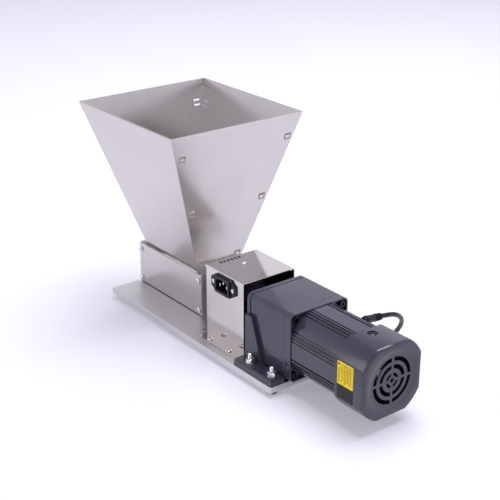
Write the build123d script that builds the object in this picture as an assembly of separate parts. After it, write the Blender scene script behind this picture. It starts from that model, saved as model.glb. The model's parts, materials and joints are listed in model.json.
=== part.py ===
from build123d import *
import math
import os

# Motor-driven two-roller grain mill.  Millimetres, +Z up, standing on Z = 0.
# +X runs from the hopper towards the motor's fan cover; Y = 0 is the hopper's middle plane.

os.makedirs("parts", exist_ok=True)

# ---- driving dimensions: base ----
FOOT_H = 6.0
FOOT_R = 7.0
PLATE_T = 8.0
DECK = FOOT_H + PLATE_T
PLATE_X = (-232.0, 129.0)
PLATE_HALF_Y = 68.5
PLATE_CORNER_R = 3.0
FOOT_INSET = 17.0
FOOT_RECESS = 3.0
END_BOLT_OFFSET = 24.5
TIE_DOWN_X = -45.1
TIE_DOWN_OFFSET = 39.7
TIE_DOWN_R = 2.75

# ---- driving dimensions: drive line ----
MOTOR_Y = -17.35
MOTOR_Z = DECK + 47.0
SHAFT_DROP = 18.0
SHAFT_Z = MOTOR_Z - SHAFT_DROP
RUN_FIT = 0.05

# ---- driving dimensions: mill ----
MILL_X = (-229.3, -78.5)
END_PLATE_T = 12.5
MILL_TOP = DECK + 60.5
END_PLATE_HALF_Y = 36.65
SIDE_COVER_T = 1.5
SIDE_COVER_GAP = 1.2
SIDE_COVER_DROP = 0.8
ROLLER_R = 16.8
ROLLER_END_GAP = 0.6
IDLER_Y = -MOTOR_Y
ECCENTRICITY = 0.75
ADJUSTER_R = 12.0
KNOB_R = 13.0
KNOB_LENGTH = 10.0
KNOB_GAP = 0.5
KNOB_NOTCHES = 36
THUMB_SCREW_R = 6.0
THUMB_SCREW_LENGTH = 7.0
BUSH_R = 9.0
DRIVEN_JOURNAL_R = 6.0
IDLER_JOURNAL_R = 5.0
MILL_COVER_SCREW_X = (MILL_X[0] + 4.0, MILL_X[1] - 6.5)
MILL_COVER_SCREW_Z = (DECK + 7.1, DECK + 50.5)
FLANGE_SCREW_Y = (-18.0, 18.0)
OUTLET_X = (-206.0, -100.0)
OUTLET_HALF_Y = 20.0

# ---- driving dimensions: hopper ----
HOPPER_X = -153.0
HOPPER_TOP_Z = DECK + 269.6
HOPPER_BOTTOM_Z = MILL_TOP + 0.5
HOPPER_TOP_HALF = (110.8, 103.6)
HOPPER_BOTTOM_HALF = (62.5, 34.65)
SHEET = 1.0
SHEET_GAP = 0.05
CORNER_FLANGE = 16.0
HEM = 8.0
TAB_HEIGHTS = (238.0, 155.0, 73.0)
SLOT_SIZE = (10.0, 9.5)
SLOT_EDGE = 4.5
SIDE_FOOT_GAP = 1.8

# ---- driving dimensions: coupling cover ----
COVER_X = (-38.3, 41.3)
COVER_HALF_Y = 41.1
COVER_TOP = DECK + 96.6
COVER_T = 1.2
COVER_FLANGE_HALF_Y = 57.4
COVER_SCREW_X = (-15.6, 24.5)
COVER_SCREW_OFFSET = 51.9
COVER_BEND_R = 1.6
COVER_LIP_CORNER_R = 6.0
COVER_LIP_UNDERCUT = 0.7
SHAFT_HOLE_R = 9.0
INLET_X = 1.7
INLET_Z = DECK + 81.0
INLET_EAR_T = 2.4
INLET_RIM_T = 5.0
INLET_SCREW_HALF = 20.0
SWITCH_X = 1.7
SWITCH_Z = DECK + 75.0
SWITCH_DEPTH = 17.0
SWITCH_TILT = 10.0
CAPACITOR_X = (-33.0, 12.0)
CAPACITOR_HALF_Y = 15.0
CAPACITOR_H = 32.8
CAPACITOR_SCREW_X = -12.3

# ---- driving dimensions: shaft coupling ----
HUB_R = 20.0
HUB_BACK = (-28.0, 34.0)
HUB_SPLIT = 0.0
JAW_HALF = 6.0
JAW_SPAN = 34.0
LEG_SPAN = 25.4
OUTPUT_R = 7.5
OUTPUT_TIP = 8.0

# ---- driving dimensions: bracket and gearhead ----
BRACKET_X = (54.7, 127.7)
BRACKET_T = 5.5
BRACKET_HALF_Y = 66.5
BRACKET_TOP = DECK + 92.0
BRACKET_SHOULDER = (49.0, DECK + 56.0)
BRACKET_CORNER_R = 8.0
RAIL_H = 8.0
RAIL_EDGE_R = 2.8
FRAME_HALF = 45.0
FRAME_CORNER_R = 7.0
FRAME_WALL = 2.2
GUSSET_T = 4.0
GUSSET_X = (67.5, 88.5)
BOSS_R = 17.5
WASHER_T = 1.2
STUD_X = (74.7, 117.7)
STUD_OFFSET = 56.5
GEARHEAD_X = (60.2, 126.0)
GEAR_WALL = 5.0
GEAR_FRONT_WALL = 8.0
GEAR_FRONT_CHAMFER = 1.6
SEAM_CHAMFER = 0.4
MOTOR_FLANGE_X = (126.0, 137.3)
CORNER_POCKET = 4.5
FRAME_SCREW_OFFSET = 36.8

# ---- driving dimensions: motor ----
HOUSING_X = (137.3, 216.7)
HOUSING_HALF = 43.8
HOUSING_ROUND_R = 46.5
HOUSING_BORE = 39.5
GROOVE_ANGLES = (15.5, 20.5, 25.5, 30.5)
GROOVE_WIDTH = 2.4
GROOVE_DEPTH = 1.8
SPIGOT = 4.7
STACK_X = (152.0, 198.0)
FAN_COVER_X = (216.7, 263.8)
FAN_COVER_ROUND_R = 51.0
FAN_COVER_HALF = 45.6
FAN_COVER_WALL = 2.2
FAN_FACE_T = 3.2
FAN_EDGE_R = 4.0
DISH_R = (34.5, 38.5)
DISH_DEPTH = 1.5
GRILLE_RINGS = ((24.2, 29.4), (14.6, 19.8), (6.0, 9.4))
GRILLE_HUB_R = 2.8
SPOKE = 3.4
FAN_SCREW_X = 227.7
FAN_X = (226.0, 240.0)
FAN_R = 33.0
LABEL_X = (221.2, 247.3)
LABEL_Z = (DECK + 42.0, DECK + 71.0)

# ---- driving dimensions: gears ----
PRESSURE_ANGLE = math.radians(25)
FIRST_MODULE = 0.7
FIRST_TEETH = (12, 42)
SECOND_MODULE = 0.9
SECOND_TEETH = (12, 44)
TOOTH_PLAY = 0.12

# ---- driving dimensions: fasteners ----
# Pan screws are (shank radius, head radius, head height, shank length).
MILL_COVER_SCREW = (2.0, 4.0, 2.4, 9.0)
FLANGE_SCREW = (2.0, 3.6, 2.0, 9.0)
COVER_SCREW = (2.0, 4.0, 2.4, 7.0)
INLET_SCREW = (1.5, 2.9, 1.4, 6.5)
CAPACITOR_SCREW = (2.0, 3.8, 1.6, 9.0)
FAN_COVER_SCREW = (2.0, 4.3, 1.9, 8.0)
STUD_R = 3.0
STUD_HEAD_R = 5.0
STUD_TOP = DECK + 21.0
STUD_NUT_AF = 10.0
STUD_NUT_H = 5.0
WASHER_R = 6.2
FRAME_SCREW_R = 2.5
FRAME_HEAD_R = 4.25
FRAME_HEAD_H = 5.0
FRAME_NUT_AF = 8.0
FRAME_NUT_H = 4.0

# ---- driving dimensions: cord ----
CORD_R = 3.0
RELIEF_TIP_R = 3.8
RELIEF_ROOT_R = 5.2
RELIEF_SHANK_R = 4.3
RELIEF_LENGTH = 26.0
MOTOR_GLAND_X = 181.7
MOTOR_GLAND_Z = DECK + 78.4
COVER_GLAND_X = -1.3
COVER_GLAND_Z = 45.0
CORD_POINTS = (
    (MOTOR_GLAND_X, 40.5, MOTOR_GLAND_Z),
    (181.2, 60.5, 90.0),
    (177.0, 80.0, 78.5),
    (166.5, 93.5, 60.5),
    (150.0, 98.5, 38.0),
    (127.0, 97.0, 17.5),
    (103.0, 92.0, 5.5),
    (76.0, 90.5, CORD_R),
    (51.0, 94.5, 5.0),
    (29.0, 95.5, 15.0),
    (12.0, 86.5, 26.0),
    (1.5, 71.5, 36.0),
    (COVER_GLAND_X, 53.5, 40.5),
    (COVER_GLAND_X, 36.5, 43.0),
)


# ---- helpers ----
def block(x, y, z):
    """A box between the (low, high) pairs x, y and z."""
    spans = (x, y, z)
    centre = [(low + high) / 2 for low, high in spans]
    return Pos(*centre) * Box(*[high - low for low, high in spans])


def bar_x(radius, x, y, z):
    """A cylinder along X between the pair x."""
    return Pos((x[0] + x[1]) / 2, y, z) * Rot(0, 90, 0) * Cylinder(radius, x[1] - x[0])


def bar_y(radius, x, y, z):
    """A cylinder along Y between the pair y."""
    return Pos(x, (y[0] + y[1]) / 2, z) * Rot(90, 0, 0) * Cylinder(radius, y[1] - y[0])


def bar_z(radius, x, y, z):
    """A cylinder along Z between the pair z."""
    return Pos(x, y, (z[0] + z[1]) / 2) * Cylinder(radius, z[1] - z[0])


def ring_x(outer, inner, x, y, z):
    """A plain ring whose axis runs along X."""
    return bar_x(outer, x, y, z) - bar_x(inner, (x[0] - 1, x[1] + 1), y, z)


def along_x(sketch, x, y=MOTOR_Y, z=MOTOR_Z):
    """A sketch in (Y, Z) about the point (y, z), drawn out along X between the pair x."""
    plane = Plane(origin=(x[0], y, z), x_dir=(0, 1, 0), z_dir=(1, 0, 0))
    return extrude(plane * sketch, x[1] - x[0])


def flatted_round(radius, half):
    """A round section with four flats."""
    return Circle(radius) & Rectangle(2 * half, 2 * half)


def aimed(shape, point, direction):
    """A shape drawn about the origin along +Z, moved to point and turned to direction."""
    return Plane(origin=point, z_dir=direction).location * shape


def pan_screw(shank_r, head_r, head_h, length):
    """A cross-head pan screw along +Z: its head stands on Z = 0, its shank hangs below."""
    head = Pos(0, 0, head_h / 2) * Cylinder(head_r, head_h)
    head = fillet(head.edges().sort_by(Axis.Z)[-1], head_h * 0.45)
    recess = Box(head_r * 1.1, head_r * 0.22, head_h) + Box(head_r * 0.22, head_r * 1.1, head_h)
    shank = Pos(0, 0, -length / 2) * Cylinder(shank_r, length)
    return head - Pos(0, 0, head_h) * recess + shank


def hex_nut(across_flats, height, bore):
    """A hexagon nut standing on Z = 0."""
    profile = RegularPolygon(across_flats / 2, 6, major_radius=False) - Circle(bore)
    return extrude(profile, height)


def save(node, *shapes):
    """Write a node's solids to its STEP file."""
    solids = [solid for shape in shapes for solid in shape.solids()]
    export_step(solids[0] if len(solids) == 1 else Compound(solids), f"parts/{node}.step")


def minus(shape, *tools):
    """Cut every tool out of a shape."""
    for tool in tools:
        shape = shape - tool
    return shape


# ---- base plate, feet and their screws ----
def motor_sides(offset):
    """The two Y positions at an offset either side of the drive line."""
    return (MOTOR_Y - offset, MOTOR_Y + offset)


FAR_FOOT_POINTS = [(PLATE_X[0] + FOOT_INSET, y) for y in motor_sides(PLATE_HALF_Y - FOOT_INSET)]
NEAR_FOOT_POINTS = [(STUD_X[1], y) for y in motor_sides(STUD_OFFSET)]
END_PLATE_X = (
    (MILL_X[0], MILL_X[0] + END_PLATE_T),
    (MILL_X[1] - END_PLATE_T, MILL_X[1]),
)
STUD_POINTS = [(x, y) for x in STUD_X for y in motor_sides(STUD_OFFSET)]
COVER_SCREW_POINTS = [(x, y) for x in COVER_SCREW_X for y in motor_sides(COVER_SCREW_OFFSET)]


def rubber_foot(x, y, recess_r, shank_r):
    """A tapered foot with a recess for the head of the screw that holds it."""
    foot = Pos(x, y, 0) * extrude(Circle(FOOT_R - 0.8), FOOT_H, taper=-7)
    return minus(foot, bar_z(recess_r, x, y, (-1, FOOT_RECESS)), bar_z(shank_r, x, y, (0, FOOT_H + 1)))


foot_screws = [
    aimed(pan_screw(*FLANGE_SCREW), (x, y, FOOT_RECESS), (0, 0, -1)) for x, y in FAR_FOOT_POINTS
]
feet = [rubber_foot(x, y, 4.6, 2.0) for x, y in FAR_FOOT_POINTS]
feet += [rubber_foot(x, y, STUD_HEAD_R + 0.2, STUD_R) for x, y in NEAR_FOOT_POINTS]

end_plate_bolts = []
for x in (sum(END_PLATE_X[0]) / 2, sum(END_PLATE_X[1]) / 2):
    for y in (-END_BOLT_OFFSET, END_BOLT_OFFSET):
        head = Pos(x, y, FOOT_H) * extrude(Circle(4.8), 2.6, taper=44)
        end_plate_bolts.append(head + bar_z(2.5, x, y, (FOOT_H + 2, DECK + 14)))

bracket_studs = []
for x, y in STUD_POINTS:
    head_z = (1.0, FOOT_RECESS) if (x, y) in NEAR_FOOT_POINTS else (FOOT_H, FOOT_H + 4)
    stud = bar_z(STUD_HEAD_R, x, y, head_z) + bar_z(STUD_R, x, y, (head_z[1] - 1, STUD_TOP))
    bracket_studs.append(chamfer(stud.edges().sort_by(Axis.Z)[-1], 0.6))

cover_screws = [
    aimed(pan_screw(*COVER_SCREW), (x, y, DECK + COVER_T), (0, 0, 1)) for x, y in COVER_SCREW_POINTS
]

plate = block(PLATE_X, motor_sides(PLATE_HALF_Y), (FOOT_H, DECK))
plate = fillet(plate.edges().filter_by(Axis.Z), PLATE_CORNER_R)
plate = chamfer(plate.faces().sort_by(Axis.Z)[-1].edges(), 0.5)
outlet = block(OUTLET_X, (-OUTLET_HALF_Y, OUTLET_HALF_Y), (FOOT_H - 1, DECK + 1))
plate = minus(plate, fillet(outlet.edges().filter_by(Axis.Z), 4.0))
for y in motor_sides(TIE_DOWN_OFFSET):
    plate = minus(plate, bar_z(TIE_DOWN_R, TIE_DOWN_X, y, (0, DECK + 1)))
plate = minus(plate, *foot_screws, *end_plate_bolts, *bracket_studs, *cover_screws)
save("base_plate", plate)
save("rubber_feet", *feet)
save("foot_screws", *foot_screws)
save("end_plate_bolts", *end_plate_bolts)
save("bracket_studs", *bracket_studs)

# ---- mill: end plates, bushes, gap adjusters, rollers ----
ADJUSTER_Z = SHAFT_Z + ECCENTRICITY
ROLLER_X = (END_PLATE_X[0][1] + ROLLER_END_GAP, END_PLATE_X[1][0] - ROLLER_END_GAP)

mill_cover_screws = []
for side in (-1, 1):
    for x in MILL_COVER_SCREW_X:
        for z in MILL_COVER_SCREW_Z:
            point = (x, side * (END_PLATE_HALF_Y + SIDE_COVER_T), z)
            mill_cover_screws.append(aimed(pan_screw(*MILL_COVER_SCREW), point, (0, side, 0)))

hopper_flange_screws = [
    aimed(pan_screw(*FLANGE_SCREW), (sum(span) / 2, y, MILL_TOP + SHEET), (0, 0, 1))
    for span in END_PLATE_X
    for y in FLANGE_SCREW_Y
]


def thumb_screw(x):
    """A knurled lock screw that reaches an adjuster through the mill's +Y side."""
    tip = IDLER_Y + ADJUSTER_R + 0.35
    outside = END_PLATE_HALF_Y + SIDE_COVER_T
    knob_y = (outside + KNOB_GAP, outside + KNOB_GAP + THUMB_SCREW_LENGTH)
    knob = bar_y(THUMB_SCREW_R, x, knob_y, ADJUSTER_Z)
    for turn in range(0, 360, 15):
        angle = math.radians(turn)
        notch_x = x + THUMB_SCREW_R * math.cos(angle)
        knob = knob - bar_y(0.45, notch_x, (0, 60), ADJUSTER_Z + THUMB_SCREW_R * math.sin(angle))
    return knob + bar_y(2.5, x, (tip, outside + 1), ADJUSTER_Z)


lock_screws = [thumb_screw(sum(span) / 2) for span in END_PLATE_X]


def end_plate(span):
    """A mill end plate with its bush seat and its adjuster seat."""
    body = block(span, (-END_PLATE_HALF_Y, END_PLATE_HALF_Y), (DECK, MILL_TOP))
    body = chamfer(body.edges().filter_by(Axis.Z), 0.6)
    wide = (span[0] - 1, span[1] + 1)
    body = minus(body, bar_x(BUSH_R, wide, MOTOR_Y, SHAFT_Z))
    body = minus(body, bar_x(ADJUSTER_R + RUN_FIT, wide, IDLER_Y, ADJUSTER_Z))
    return minus(body, *end_plate_bolts, *mill_cover_screws, *hopper_flange_screws, *lock_screws)


def knurled(knob_r, x, y, z, notches, depth):
    """A knob along X with straight knurling."""
    knob = bar_x(knob_r, x, y, z)
    for index in range(notches):
        angle = 2 * math.pi * index / notches
        notch_y = y + knob_r * math.cos(angle)
        notch_z = z + knob_r * math.sin(angle)
        knob = knob - bar_x(depth, (x[0] - 1, x[1] + 1), notch_y, notch_z)
    return knob


def gap_adjuster(span, outward):
    """An eccentric bush that carries one idler journal, with a knurled knob outside its plate."""
    inner, outer = (span[0], span[1]) if outward > 0 else (span[1], span[0])
    low, high = sorted((inner, outer + outward * KNOB_GAP))
    body = bar_x(ADJUSTER_R, (low, high), IDLER_Y, ADJUSTER_Z)
    knob_end = outer + outward * (KNOB_GAP + KNOB_LENGTH)
    low, high = sorted((outer + outward * KNOB_GAP, knob_end))
    body = body + knurled(KNOB_R, (low, high), IDLER_Y, ADJUSTER_Z, KNOB_NOTCHES, 0.5)
    mark = sorted((knob_end - outward * 0.8, knob_end + outward * 0.5))
    body = body - block(mark, (IDLER_Y - 0.6, IDLER_Y + 0.6), (ADJUSTER_Z + 3, ADJUSTER_Z + 14))
    low, high = sorted((inner - outward, outer + outward * 1.0))
    return body - bar_x(IDLER_JOURNAL_R + RUN_FIT, (low, high), IDLER_Y, SHAFT_Z)


def roller(y, journal_r, left, right):
    """A mill roller with chamfered ends and a journal at each end."""
    drum = bar_x(ROLLER_R, ROLLER_X, y, SHAFT_Z)
    drum = chamfer(drum.edges().filter_by(GeomType.CIRCLE), 1.0)
    return drum + bar_x(journal_r, (left, right), y, SHAFT_Z)


save("end_plate_far", end_plate(END_PLATE_X[0]))
save("end_plate_drive", end_plate(END_PLATE_X[1]))
bushes = [ring_x(BUSH_R, DRIVEN_JOURNAL_R + RUN_FIT, span, MOTOR_Y, SHAFT_Z) for span in END_PLATE_X]
save("roller_bushes", *bushes)
save("gap_adjuster_far", gap_adjuster(END_PLATE_X[0], -1))
save("gap_adjuster_drive", gap_adjuster(END_PLATE_X[1], 1))
save("adjuster_lock_screws", *lock_screws)
driven_roller = roller(MOTOR_Y, DRIVEN_JOURNAL_R, END_PLATE_X[0][0] + 1.0, HUB_SPLIT - JAW_HALF - 0.5)
save("driven_roller", driven_roller)
idler_roller = roller(IDLER_Y, IDLER_JOURNAL_R, END_PLATE_X[0][0] + 0.5, END_PLATE_X[1][1] - 0.5)
save("idler_roller", idler_roller)

for name, side in (("mill_cover_left", -1), ("mill_cover_right", 1)):
    span_y = sorted((side * END_PLATE_HALF_Y, side * (END_PLATE_HALF_Y + SIDE_COVER_T)))
    side_cover = block(MILL_X, span_y, (DECK + SIDE_COVER_GAP, MILL_TOP - SIDE_COVER_DROP))
    side_cover = fillet(side_cover.edges().filter_by(Axis.Y), 1.5)
    save(name, minus(side_cover, *mill_cover_screws, *lock_screws))
save("mill_cover_screws", *mill_cover_screws)

# ---- hopper: four sheet panels, tabs through slots at the corners ----
HOPPER_RISE = HOPPER_TOP_Z - HOPPER_BOTTOM_Z


class Wall:
    """One sloping side of the hopper: its plane, its slope length and its two half widths."""

    def __init__(self, side_x, side_y):
        across = 0 if side_x else 1
        bottom = HOPPER_BOTTOM_HALF[across]
        top = HOPPER_TOP_HALF[across]
        out = Vector(side_x, side_y, 0)
        foot = Vector(HOPPER_X, 0, HOPPER_BOTTOM_Z) + out * bottom
        slope = out * (top - bottom) + Vector(0, 0, HOPPER_RISE)
        self.length = slope.length
        self.rise = HOPPER_RISE / slope.length
        normal = out * self.rise - Vector(0, 0, (top - bottom) / slope.length)
        self.plane = Plane(origin=foot, x_dir=slope.cross(normal), z_dir=normal)
        self.half_bottom = HOPPER_BOTTOM_HALF[1 - across]
        self.half_top = HOPPER_TOP_HALF[1 - across]

    def half_at(self, v):
        """Half the width at a distance v up the slope."""
        return self.half_bottom + (self.half_top - self.half_bottom) * v / self.length

    def at_height(self, z):
        """The distance up the slope of a height above the deck."""
        return (z + DECK - HOPPER_BOTTOM_Z) / self.rise

    def slab(self, corners, low, high):
        """A flat slab with the given outline in the wall's plane, between two depths."""
        outline = make_face(Polyline(*corners, close=True))
        return self.plane.location * Pos(0, 0, low) * extrude(outline, high - low)


def strip(wall, v, inset_a, inset_b, low, high, side=None):
    """A strip of a wall between two heights; its ends follow the slanting edges."""
    corners = []
    for height, order in ((v[0], 1), (v[1], -1)):
        half = wall.half_at(height)
        if side is None:
            ends = (-half + inset_a, half - inset_b)
        else:
            ends = tuple(sorted((side * (half - inset_a), side * (half - inset_b))))
        corners += [(end, height) for end in ends[::order]]
    return wall.slab(corners, low, high)


def tab_places(wall):
    """Middle of each corner slot in a wall's plane, with the side it is on."""
    for height in TAB_HEIGHTS:
        v = wall.at_height(height)
        for side in (-1, 1):
            yield side, side * (wall.half_at(v) - SLOT_EDGE - SLOT_SIZE[0] / 2), v


def slotted_panel(side_x):
    """A hopper end: full width, a hem at the rim, slots beside its edges and a foot flange."""
    wall = Wall(side_x, 0)
    panel = strip(wall, (0, wall.length), 0, 0, -SHEET, 0)
    panel = panel + strip(wall, (wall.length - HEM, wall.length), 1.25, 1.25, -2 * SHEET, -SHEET)
    for _, u, v in tab_places(wall):
        panel = panel - wall.plane.location * Pos(u, v, 0) * Box(*SLOT_SIZE, 6)
    inner = HOPPER_X + side_x * (HOPPER_BOTTOM_HALF[0] - 0.9)
    outer = HOPPER_X + side_x * (HOPPER_BOTTOM_HALF[0] + 11.5)
    foot = block(sorted((inner, outer)), (-33.0, 33.0), (MILL_TOP, MILL_TOP + SHEET))
    return minus(panel + foot, *hopper_flange_screws)


def tabbed_panel(side_y):
    """A hopper side: it fits between the ends, and its corner flanges carry the tabs."""
    wall = Wall(0, side_y)
    ends = [Wall(-1, 0), Wall(1, 0)]
    inset = (SHEET + SHEET_GAP) / ends[0].rise
    panel = strip(wall, (SIDE_FOOT_GAP, wall.length), inset, inset, -SHEET, 0)
    hem_inset = inset + 1.25 * SHEET
    panel = panel + strip(wall, (wall.length - HEM, wall.length), hem_inset, hem_inset, -2 * SHEET, -SHEET)
    depth = SHEET + SHEET_GAP
    for end in ends:
        side = side_y if end.plane.x_dir.Y > 0 else -side_y
        flange_v = (SIDE_FOOT_GAP, end.length - HEM - 2)
        flange = strip(end, flange_v, 0.35, CORNER_FLANGE, -depth - SHEET, -depth, side)
        tabs = []
        for tab_side, u, v in tab_places(end):
            if tab_side != side:
                continue
            flange = flange - end.plane.location * Pos(u, v, 0) * Box(*SLOT_SIZE, 6)
            root = Pos(u + side * 2.5, v, -depth - SHEET / 2) * Box(8.5, 4.6, SHEET)
            tongue = Pos(u - side * 0.4, v, -depth / 2) * Box(7.0, 4.6, depth + 1.2)
            tabs.append(end.plane.location * (root + tongue))
        panel = panel + flange
        for tab in tabs:
            panel = panel + tab
    return panel


save("hopper_end_drive", slotted_panel(1))
save("hopper_end_far", slotted_panel(-1))
save("hopper_side_left", tabbed_panel(-1))
save("hopper_side_right", tabbed_panel(1))
save("hopper_flange_screws", *hopper_flange_screws)

# ---- coupling cover, inlet, switch and capacitor ----
INLET_FACE_Y = MOTOR_Y - COVER_HALF_Y
SWITCH_FACE_Y = MOTOR_Y + COVER_HALF_Y


def along_y(sketch, x, z, start, end):
    """A sketch in (X, Z) about the point (x, z), drawn out along Y from start to end."""
    plane = Plane(origin=(x, start, z), x_dir=(1, 0, 0), z_dir=(0, -1, 0))
    return extrude(plane * sketch, start - end)


inlet_cavity = make_face(Polyline((-12, -8), (12, -8), (12, 4), (8, 8), (-8, 8), (-12, 4), close=True))
inlet_ears = make_face(
    Polyline((-25.2, -6), (-14, -13), (14, -13), (25.2, -6),
             (25.2, 6), (14, 13), (-14, 13), (-25.2, 6), close=True)
)
inlet_ears = fillet(inlet_ears.vertices(), 2.0)
inlet_outer_y = INLET_FACE_Y - INLET_RIM_T
inlet_ear_y = INLET_FACE_Y - INLET_EAR_T
inlet_back_y = INLET_FACE_Y + 18.0
inlet_screws = [
    aimed(pan_screw(*INLET_SCREW), (INLET_X + dx, inlet_ear_y, INLET_Z), (0, -1, 0))
    for dx in (-INLET_SCREW_HALF, INLET_SCREW_HALF)
]
inlet_pins = [
    block((x - 1.0, x + 1.0), (inlet_outer_y + 3.0, inlet_back_y + 7.0), (z - 2.0, z + 2.0))
    for x, z in ((INLET_X - 7.0, INLET_Z - 0.6), (INLET_X + 7.0, INLET_Z - 0.6), (INLET_X, INLET_Z + 3.4))
]
inlet_rim = RectangleRounded(31.0, 23.0, 3.5)
inlet = along_y(inlet_ears, INLET_X, INLET_Z, INLET_FACE_Y, inlet_ear_y)
inlet = inlet + along_y(inlet_rim, INLET_X, INLET_Z, INLET_FACE_Y, inlet_outer_y)
inlet = inlet + along_y(RectangleRounded(27.0, 20.0, 2.0), INLET_X, INLET_Z, inlet_back_y, INLET_FACE_Y - 1)
inlet = inlet - along_y(inlet_cavity, INLET_X, INLET_Z, inlet_back_y - 4.0, inlet_outer_y - 1)
inlet = minus(inlet, *inlet_screws, *inlet_pins)
save("power_inlet", inlet)
save("inlet_pins", *inlet_pins)
save("inlet_screws", *inlet_screws)

switch_pivot_y = SWITCH_FACE_Y - 1.5
switch_back_y = SWITCH_FACE_Y - SWITCH_DEPTH
switch_front_y = SWITCH_FACE_Y + 2.0
switch_body = along_y(RectangleRounded(21.0, 31.0, 2.0), SWITCH_X, SWITCH_Z, switch_front_y, SWITCH_FACE_Y)
switch_box = along_y(Rectangle(18.6, 27.6), SWITCH_X, SWITCH_Z, SWITCH_FACE_Y + 1, switch_back_y)
switch_body = switch_body + switch_box
switch_body = switch_body - along_y(
    Rectangle(15.0, 25.4), SWITCH_X, SWITCH_Z, switch_front_y + 1, SWITCH_FACE_Y - 11.0
)
pivot_pin = bar_x(1.0, (SWITCH_X - 8.2, SWITCH_X + 8.2), switch_pivot_y, SWITCH_Z)
switch_body = switch_body - bar_x(1.0 + RUN_FIT, (SWITCH_X - 8.4, SWITCH_X + 8.4), switch_pivot_y, SWITCH_Z)
for dz in (-8.0, 0.0, 8.0):
    blade_z = (SWITCH_Z + dz - 2.4, SWITCH_Z + dz + 2.4)
    switch_body = switch_body + block(
        (SWITCH_X - 0.4, SWITCH_X + 0.4), (switch_back_y - 7.0, switch_back_y + 1.0), blade_z
    )
rocker_outline = make_face(
    Polyline((-11.8, 5.6), (0, 3.4), (11.8, 5.6), (11.4, 0.6),
             (2.5, -3.4), (-2.5, -3.4), (-11.4, 0.6), close=True)
)
rocker_plane = Plane(origin=(SWITCH_X - 7.2, switch_pivot_y, SWITCH_Z), x_dir=(0, 0, 1), z_dir=(-1, 0, 0))
rocker = extrude(rocker_plane * (Rot(0, 0, SWITCH_TILT) * rocker_outline), -14.4)
save("switch_body", switch_body)
save("switch_rocker", rocker + pivot_pin)

capacitor_screw = aimed(pan_screw(*CAPACITOR_SCREW), (CAPACITOR_SCREW_X, MOTOR_Y, COVER_TOP), (0, 0, 1))
capacitor_z = (COVER_TOP - COVER_T - CAPACITOR_H, COVER_TOP - COVER_T)
capacitor = block(CAPACITOR_X, motor_sides(CAPACITOR_HALF_Y), capacitor_z)
capacitor = fillet(capacitor.edges().filter_by(Axis.Z), 3.0)
for y in motor_sides(8.0):
    blade_x = (CAPACITOR_X[1], CAPACITOR_X[1] + 7.0)
    capacitor = capacitor + block(blade_x, (y - 2.4, y + 2.4), (COVER_TOP - 22.4, COVER_TOP - 21.6))
save("run_capacitor", capacitor - capacitor_screw)
save("capacitor_screw", capacitor_screw)

cover_inner_x = (COVER_X[0] + COVER_T, COVER_X[1] + 1)
cover = block(COVER_X, motor_sides(COVER_HALF_Y), (DECK, COVER_TOP))
top_bends = cover.edges().filter_by(Axis.X).group_by(Axis.Z)[-1]
back_bends = cover.edges().filter_by(Axis.Z).group_by(Axis.X)[0]
top_back_bend = cover.edges().filter_by(Axis.Y).group_by(Axis.Z)[-1].sort_by(Axis.X)[0]
cover = fillet(top_bends + back_bends + [top_back_bend], COVER_BEND_R)
cover = cover - block(cover_inner_x, motor_sides(COVER_HALF_Y - COVER_T), (DECK - 1, COVER_TOP - COVER_T))
for side in (-1, 1):
    near = MOTOR_Y + side * (COVER_HALF_Y - COVER_T)
    far = MOTOR_Y + side * COVER_FLANGE_HALF_Y
    lip = block((COVER_X[0] + 2.5, COVER_X[1] + 3.5), sorted((near, far)), (DECK, DECK + COVER_T))
    outer_corners = lip.edges().filter_by(Axis.Z).group_by(Axis.Y)[0 if side < 0 else -1]
    lip = fillet(outer_corners, COVER_LIP_CORNER_R)
    cover = cover + chamfer(lip.faces().sort_by(Axis.Z)[0].edges(), COVER_LIP_UNDERCUT)
cover = cover - bar_x(SHAFT_HOLE_R, (COVER_X[0] - 1, COVER_X[0] + 5), MOTOR_Y, SHAFT_Z)
cover = cover - along_y(Rectangle(28.0, 21.0), INLET_X, INLET_Z, INLET_FACE_Y + 3, INLET_FACE_Y - 1)
cover = cover - along_y(Rectangle(19.2, 28.2), SWITCH_X, SWITCH_Z, SWITCH_FACE_Y + 1, SWITCH_FACE_Y - 3)
cover = cover - bar_y(6.0, COVER_GLAND_X, (SWITCH_FACE_Y - 4, SWITCH_FACE_Y + 1), COVER_GLAND_Z)
cover = minus(cover, *cover_screws, capacitor_screw, *inlet_screws)
save("coupling_cover", cover)
save("cover_screws", *cover_screws)

# ---- shaft coupling ----
def sector(radius, span, angle):
    """A pie slice of a disc, centred on an angle in degrees."""
    half = math.radians(span / 2)
    reach = radius / math.cos(half)
    far_x = reach * math.cos(half)
    far_y = reach * math.sin(half)
    wedge = make_face(Polyline((0, 0), (far_x, -far_y), (far_x, far_y), close=True))
    return Rot(0, 0, angle) * (wedge & Circle(radius))


def coupling_hub(body_x, bore_r, first_angle):
    """A jaw hub: a plain body with three jaws between the spider's legs."""
    hub = bar_x(HUB_R, body_x, MOTOR_Y, SHAFT_Z)
    for step in range(3):
        jaw = sector(HUB_R, JAW_SPAN, first_angle + 120 * step) - Circle(9.5)
        hub = hub + along_x(jaw, (HUB_SPLIT - JAW_HALF, HUB_SPLIT + JAW_HALF), MOTOR_Y, SHAFT_Z)
    wide = (body_x[0] - 1, body_x[1] + 1)
    return hub - bar_x(bore_r, wide, MOTOR_Y, SHAFT_Z)


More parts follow.
